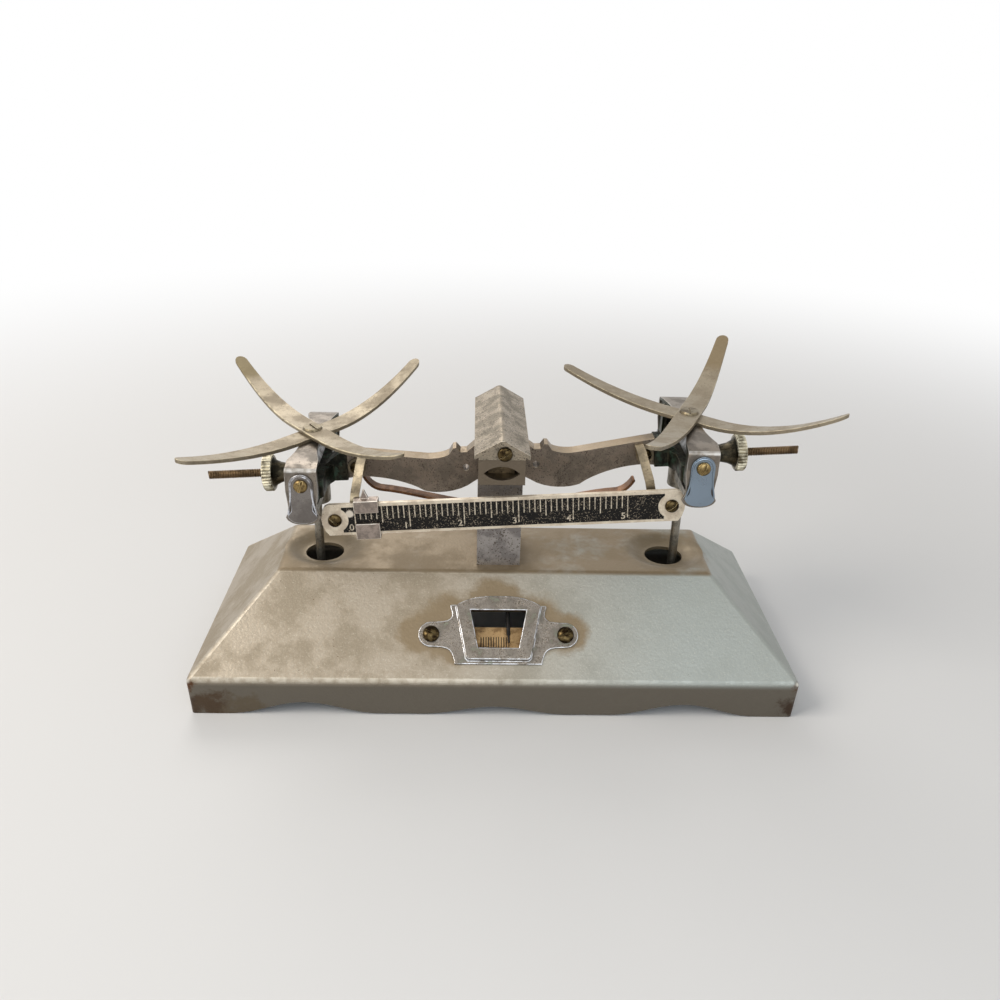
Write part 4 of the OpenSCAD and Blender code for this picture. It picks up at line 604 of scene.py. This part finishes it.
for side, rod_end, nut_x in ((-1, 105.2 * mm, 81.2 * mm), (1, 107 * mm, 83.6 * mm)):
    name = "left" if side < 0 else "right"
    outward = in_beam @ Matrix.Diagonal((side, 1, 1, 1)) @ Matrix.Translation((0, 0, thread_z))
    start = block_end - 4 * mm
    turns = round((rod_end - start) / thread_pitch) - 1
    thread = bmesh.new()
    tooth = [thread.verts.new((start + t * thread_pitch, 0, r)) for t, r in
        ((0, thread_r * 0.8), (0.35, thread_r), (0.65, thread_r), (1, thread_r * 0.8))]
    flanks = [thread.edges.new(pair) for pair in zip(tooth, tooth[1:])]
    bmesh.ops.spin(thread, geom=tooth + flanks, axis=(1, 0, 0), cent=(0, 0, 0),
        dvec=(thread_pitch / 20, 0, 0), angle=2 * math.pi * turns, steps=20 * turns)
    bmesh.ops.remove_doubles(thread, verts=thread.verts, dist=mm / 1000)
    bmesh.ops.holes_fill(thread, edges=[e for e in thread.edges if e.is_boundary], sides=0)
    bmesh.ops.recalc_face_normals(thread, faces=thread.faces)
    bmesh.ops.transform(thread, matrix=outward, verts=thread.verts)
    if side < 0:
        bmesh.ops.reverse_faces(thread, faces=thread.faces)
    thread_mesh = bpy.data.meshes.new("thread_" + name)
    thread.to_mesh(thread_mesh)
    fitted("thread_" + name, thread_mesh, rod_brown, "beam", "threaded_rod_" + name)

    nut = bmesh.new()
    bore = thread_r + 0.05 * mm
    hub = [(nut_r - 1.2 * mm, rim_w), (nut_r - 2.2 * mm, rim_w + 0.9 * mm),
        (nut_r - 3 * mm, rim_w + 2.6 * mm), (hub_r + 0.1 * mm, rim_w + 4.8 * mm),
        (hub_r, rim_w + hub_len - 0.4 * mm), (hub_r - 0.4 * mm, rim_w + hub_len)]
    outline = [(bore, 0), (nut_r - 2.2 * mm, 0), (nut_r - 1 * mm, 0.2 * mm), (nut_r - 0.45 * mm, 0.2 * mm),
        (nut_r, 0.6 * mm), (nut_r, rim_w - 0.5 * mm), (nut_r - 0.45 * mm, rim_w - 0.1 * mm), *hub,
        (bore, rim_w + hub_len)]
    ring = [nut.verts.new((-along, 0, radius)) for radius, along in outline]
    turned = [nut.edges.new(pair) for pair in zip(ring, ring[1:] + ring[:1])]
    bmesh.ops.spin(nut, geom=ring + turned, axis=(1, 0, 0), cent=(0, 0, 0), angle=2 * math.pi,
        steps=knurls * 4, use_merge=True)
    bmesh.ops.remove_doubles(nut, verts=nut.verts, dist=mm / 1000)
    rim_mark = nut.faces.layers.float.new("edge")
    for vert in nut.verts:
        radius = math.hypot(vert.co.y, vert.co.z)
        if radius > nut_r - 0.3 * mm:
            turn = math.atan2(vert.co.y, vert.co.z) * knurls
            groove = 1 - 0.075 * (0.5 - 0.5 * math.cos(turn)) ** 0.5
            vert.co.y *= groove
            vert.co.z *= groove
    for face in nut.faces:
        middle = face.calc_center_median()
        on_rim = -rim_w < middle.x < -0.3 * mm and math.hypot(middle.y, middle.z) > nut_r - 1.1 * mm
        face[rim_mark] = 1 if on_rim else 0
    bmesh.ops.recalc_face_normals(nut, faces=nut.faces)
    bmesh.ops.translate(nut, vec=(nut_x + rim_w, 0, 0), verts=nut.verts)
    bmesh.ops.transform(nut, matrix=outward, verts=nut.verts)
    if side < 0:
        bmesh.ops.reverse_faces(nut, faces=nut.faces)
    nut_mesh = bpy.data.meshes.new("balance_nut_" + name)
    nut.to_mesh(nut_mesh)
    fitted("balance_nut_" + name, nut_mesh, nut_plate, name + "_nut", "nut_" + name)

# The rider scale: an etched bar with a black field and bare lines, carried on bent strips,
# with a bright rider that clips over it and slides from 0 to 5 grams.
champagne = finish("champagne", (0.6, 0.55, 0.46), (0.47, 0.43, 0.36), (0.86, 0.81, 0.7),
    roughness=0.36, cloud_size=8 * mm, pit_size=0.7 * mm, pit_cover=0.5, edge_wear=0.7,
    pit_colour=(0.36, 0.32, 0.26))
bare_metal = finish("bare_metal", (0.84, 0.79, 0.71), (0.74, 0.68, 0.6), (0.96, 0.94, 0.88),
    metallic=0.5, roughness=0.42, cloud_size=5 * mm, pit_size=0.7 * mm, pit_cover=0.35,
    pit_colour=(0.5, 0.43, 0.36), edge_wear=0.9, depth=0.03 * mm)
for side in ("left", "right"):
    rounded("bar_hanger_" + side, 0.3 * mm, champagne)
    rounded("hanger_screw_" + side, 0.15 * mm, dark_screw)
    rounded("bar_screw_" + side, 0.15 * mm, dark_screw)
rounded("scale_bar", 0.3 * mm, bare_metal)

bar_mid, bar_face = -14.9 * mm, -24 * mm
field_half, field_top, field_low = 54.7 * mm, 4.6 * mm, -4.8 * mm
disc_x, disc_r = 57.2 * mm, 4.6 * mm
field_t, line_t = 0.05 * mm, 0.03 * mm
on_bar = in_beam @ Matrix.Translation((0, bar_face, bar_mid)) @ Matrix.Rotation(math.pi / 2, 4, "X")
sweep = math.acos((disc_x - field_half) / disc_r)
left_edge = [(-disc_x + disc_r * math.cos(a), disc_r * math.sin(a)) for a in
    (sweep * (1 - i / 6) for i in range(13))]
outline = [(-field_half, field_top), *left_edge, (-field_half, field_low), (field_half, field_low),
    *[(-x, -y) for x, y in left_edge], (field_half, field_top)]
field = bmesh.new()
sheet = field.faces.new([field.verts.new((x, y, 0)) for x, y in outline])
lifted = bmesh.ops.extrude_face_region(field, geom=[sheet])["geom"]
bmesh.ops.translate(field, vec=(0, 0, field_t),
    verts=[v for v in lifted if isinstance(v, bmesh.types.BMVert)])
bmesh.ops.recalc_face_normals(field, faces=field.faces)
bmesh.ops.transform(field, matrix=on_bar, verts=field.verts)
field_mesh = bpy.data.meshes.new("scale_field")
field.to_mesh(field_mesh)
field_black = finish("field_black", (0.06, 0.055, 0.05), (0.1, 0.09, 0.08), (0.6, 0.56, 0.5),
    metallic=0, roughness=0.5, cloud_size=3 * mm, pit_size=0.6 * mm, pit_cover=0.62,
    pit_colour=(0.6, 0.55, 0.48), edge_wear=0, grain_size=0.3 * mm)
field_black.node_tree.nodes["Principled BSDF"].inputs["Specular IOR Level"].default_value = 0.2
stained(field_black, (0.8, 0.76, 0.7), on_bar @ Vector((-52 * mm, 2.2 * mm, 0)), 2.2 * mm, 0.5)
fitted("scale_field", field_mesh, field_black, "beam", slot="bar_black")

zero_x, line_pitch, line_w = -50.3 * mm, 1.85 * mm, 0.36 * mm
gram_line, half_line, tenth_line = 8.2 * mm, 6.2 * mm, 4.7 * mm
lines = bmesh.new()
for i in range(51):
    length = gram_line if i % 10 == 0 else half_line if i % 5 == 0 else tenth_line
    place = Matrix.LocRotScale((zero_x + i * line_pitch, field_top - length / 2,
        field_t + line_t / 2), None, (line_w, length, line_t))
    bmesh.ops.create_cube(lines, size=1, matrix=on_bar @ place)
digit_h, digit_shift, digit_lift = 2.3 * mm, -1.45 * mm, 0.75 * mm
for number in range(6):
    text = bpy.data.curves.new("digit", "FONT")
    text.body = str(number)
    text.size = digit_h / 0.7
    text.align_x = "CENTER"
    text.extrude = line_t / 2
    text.offset = 0.05 * mm
    written = bpy.data.objects.new("digit", text)
    bpy.context.scene.collection.objects.link(written)
    bpy.context.view_layer.update()
    digit = bpy.data.meshes.new_from_object(written.evaluated_get(bpy.context.evaluated_depsgraph_get()))
    bpy.data.objects.remove(written)
    digit.transform(on_bar @ Matrix.Translation((zero_x + number * 10 * line_pitch + digit_shift,
        field_low + digit_lift, field_t + line_t / 2)))
    lines.from_mesh(digit)
line_mesh = bpy.data.meshes.new("scale_lines")
lines.to_mesh(line_mesh)
line_pale = finish("line_pale", (0.78, 0.73, 0.65), (0.55, 0.51, 0.45), (0.8, 0.76, 0.7), metallic=0.2,
    roughness=0.5, cloud_size=0.9 * mm, pit_size=0.5 * mm, pit_cover=0.35, pit_colour=(0.2, 0.18, 0.15),
    edge_wear=0)
fitted("scale_lines", line_mesh, line_pale, "beam", slot="bar_black")

rider_chrome = finish("rider_chrome", (0.62, 0.57, 0.535), (0.5, 0.46, 0.43), (0.94, 0.91, 0.86),
    roughness=0.3, cloud_size=3 * mm, pit_size=0.5 * mm, pit_cover=0.5, edge_wear=0.8,
    pit_colour=(0.4, 0.36, 0.33))
rounded("rider", 0.28 * mm, rider_chrome, segments=3)

# The pan carriers: bent steel sheet over each end knife, with a plated cover screwed on the
# front and back, a crossbar and the rod that runs down through the base to the lower link.
carrier_steel = finish("carrier_steel", (0.52, 0.485, 0.445), (0.42, 0.395, 0.365), (0.8, 0.79, 0.77),
    roughness=0.33, cloud_size=6 * mm, pit_size=0.7 * mm, pit_cover=0.5, edge_wear=0.6,
    pit_colour=(0.34, 0.31, 0.28))
steel_tree = carrier_steel.node_tree
# Painted shade: inside the covers, every carrier face that does not face up is made dark greenish grey, for
# the shade between the covers and under the roof.
depth_in = joined(steel_tree, "ShaderNodeMath", {0: part_of(steel_tree, "Object", "Y")},
    operation="ABSOLUTE")
inside = banded(steel_tree, depth_in.outputs[0], 26.6 * mm, 26.0 * mm)
level_top = banded(steel_tree, part_of(steel_tree, "Normal", "Z"), 0.6, 0.3)
painted_shade_walls = joined(steel_tree, "ShaderNodeMath", {0: inside, 1: level_top}, operation="MULTIPLY")
overlaid(carrier_steel, painted_shade_walls.outputs[0], (0.24, 0.25, 0.21))
cover_plate = finish("cover_plate", (0.5, 0.48, 0.465), (0.42, 0.4, 0.385), (0.82, 0.83, 0.86),
    roughness=0.26, cloud_size=8 * mm, pit_size=0.8 * mm, pit_cover=0.35, edge_wear=0.9,
    pit_colour=(0.3, 0.28, 0.26))
# Partly painted light: towards the right the covers turn bluer, in part for cool light falling from that
# side and in part for the plating's own tint.
overlaid(cover_plate, banded(cover_plate.node_tree, part_of(cover_plate.node_tree, "Object", "X"),
    -20 * mm, 20 * mm), (0.51, 0.56, 0.61))
brass_screw = finish("brass_screw", (0.55, 0.47, 0.32), (0.34, 0.28, 0.19), (0.86, 0.77, 0.56),
    roughness=0.28, cloud_size=2 * mm, pit_size=1 * mm, pit_cover=0.35)
rod_steel = finish("rod_steel", (0.56, 0.54, 0.5), (0.4, 0.39, 0.36), (0.7, 0.68, 0.64),
    roughness=0.34, cloud_size=5 * mm, pit_size=0.7 * mm, pit_cover=0.5, pit_colour=(0.3, 0.27, 0.24))
hinge_at = {joint["child"]: Vector(joint["pos_m"]) for joint in frame["joints"]
    if joint["type"] == "hinge"}
fold_z, carrier_half, cover_t = 5.6 * mm, 27.5 * mm, 0.8 * mm
arch_r, ridge_r, ridge_up = 3.35 * mm, 0.32 * mm, 0.3 * mm
ridge_legs = ((0.15 * mm, 3.2 * mm), (-0.35 * mm, 3.2 * mm), (0.9 * mm, 4 * mm))
for side in ("left", "right"):
    knife = hinge_at[side + "_carrier"]

    def at_fold(a, b):
        lined = abs(a.y - b.y) < mm / 100 and abs(abs(a.y) - carrier_half) < mm / 100
        return lined and max(abs(a.z - knife.z - fold_z), abs(b.z - knife.z - fold_z)) < mm / 20

    rounded("carrier_" + side, 0.25 * mm, carrier_steel, fold=at_fold, fold_width=1.0 * mm)
    rounded("pan_rod_" + side, 0.4 * mm, rod_steel)
    for end, out in (("front", -1), ("rear", 1)):
        rounded(f"cover_{side}_{end}", 0.22 * mm, cover_plate)
        rounded(f"cover_screw_{side}_{end}", 0.15 * mm, brass_screw)
        ridge = bmesh.new()
        bmesh.ops.create_circle(ridge, segments=8, radius=ridge_r, cap_ends=True,
            matrix=Matrix.Translation((arch_r, 0, 0)))
        first = list(ridge.faces)
        last = bmesh.ops.spin(ridge, geom=first, axis=(0, 1, 0), cent=(0, 0, 0), angle=-math.pi,
            steps=20)["geom_last"]
        for ends in (first, [g for g in last if isinstance(g, bmesh.types.BMFace)]):
            for spread, drop in ridge_legs:
                grown = bmesh.ops.extrude_face_region(ridge, geom=ends)["geom"]
                bmesh.ops.delete(ridge, geom=[f for f in ends if f.is_valid], context="FACES_ONLY")
                moved = [v for v in grown if isinstance(v, bmesh.types.BMVert)]
                way = math.copysign(spread, moved[0].co.x)
                bmesh.ops.translate(ridge, vec=(way, 0, -drop), verts=moved)
                ends = [g for g in grown if isinstance(g, bmesh.types.BMFace)]
        ridge_mark = ridge.faces.layers.float.new("edge")
        for face in ridge.faces:
            face[ridge_mark] = 1
        bmesh.ops.recalc_face_normals(ridge, faces=ridge.faces)
        bmesh.ops.translate(ridge, vec=(knife.x, out * (carrier_half + cover_t), knife.z + ridge_up),
            verts=ridge.verts)
        ridge_mesh = bpy.data.meshes.new(f"cover_ridge_{side}_{end}")
        ridge.to_mesh(ridge_mesh)
        fitted(f"cover_ridge_{side}_{end}", ridge_mesh, cover_plate, side + "_carrier", slot="cover_chrome")

# The pan crosses: two long bent strips on each carrier, crossed under one flat slotted screw.
# The pans, which are not made here, would rest on their upturned tips.
strip_metal = finish("strip_metal", (0.565, 0.525, 0.455), (0.515, 0.475, 0.41), (0.82, 0.77, 0.65),
    roughness=0.42, cloud_size=9 * mm, pit_size=0.6 * mm, pit_cover=0.6, edge_wear=0.75,
    pit_colour=(0.4, 0.35, 0.28), grain_size=0.5 * mm)
stained(strip_metal, (0.5, 0.445, 0.355), (88 * mm, 44 * mm, 112 * mm), 24 * mm, 0.4)
stained(strip_metal, (0.5, 0.455, 0.36), (-99 * mm, 42 * mm, 103 * mm), 22 * mm, 0.5)
flat_screw = finish("flat_screw", (0.5, 0.46, 0.38), (0.36, 0.32, 0.26), (0.72, 0.68, 0.58),
    roughness=0.36, cloud_size=3 * mm, pit_cover=0.4)
for side in ("left", "right"):
    for layer in ("lower", "upper"):
        rounded(f"{layer}_strip_{side}", 0.3 * mm, strip_metal)
    rounded("cross_screw_" + side, 0.15 * mm, flat_screw)
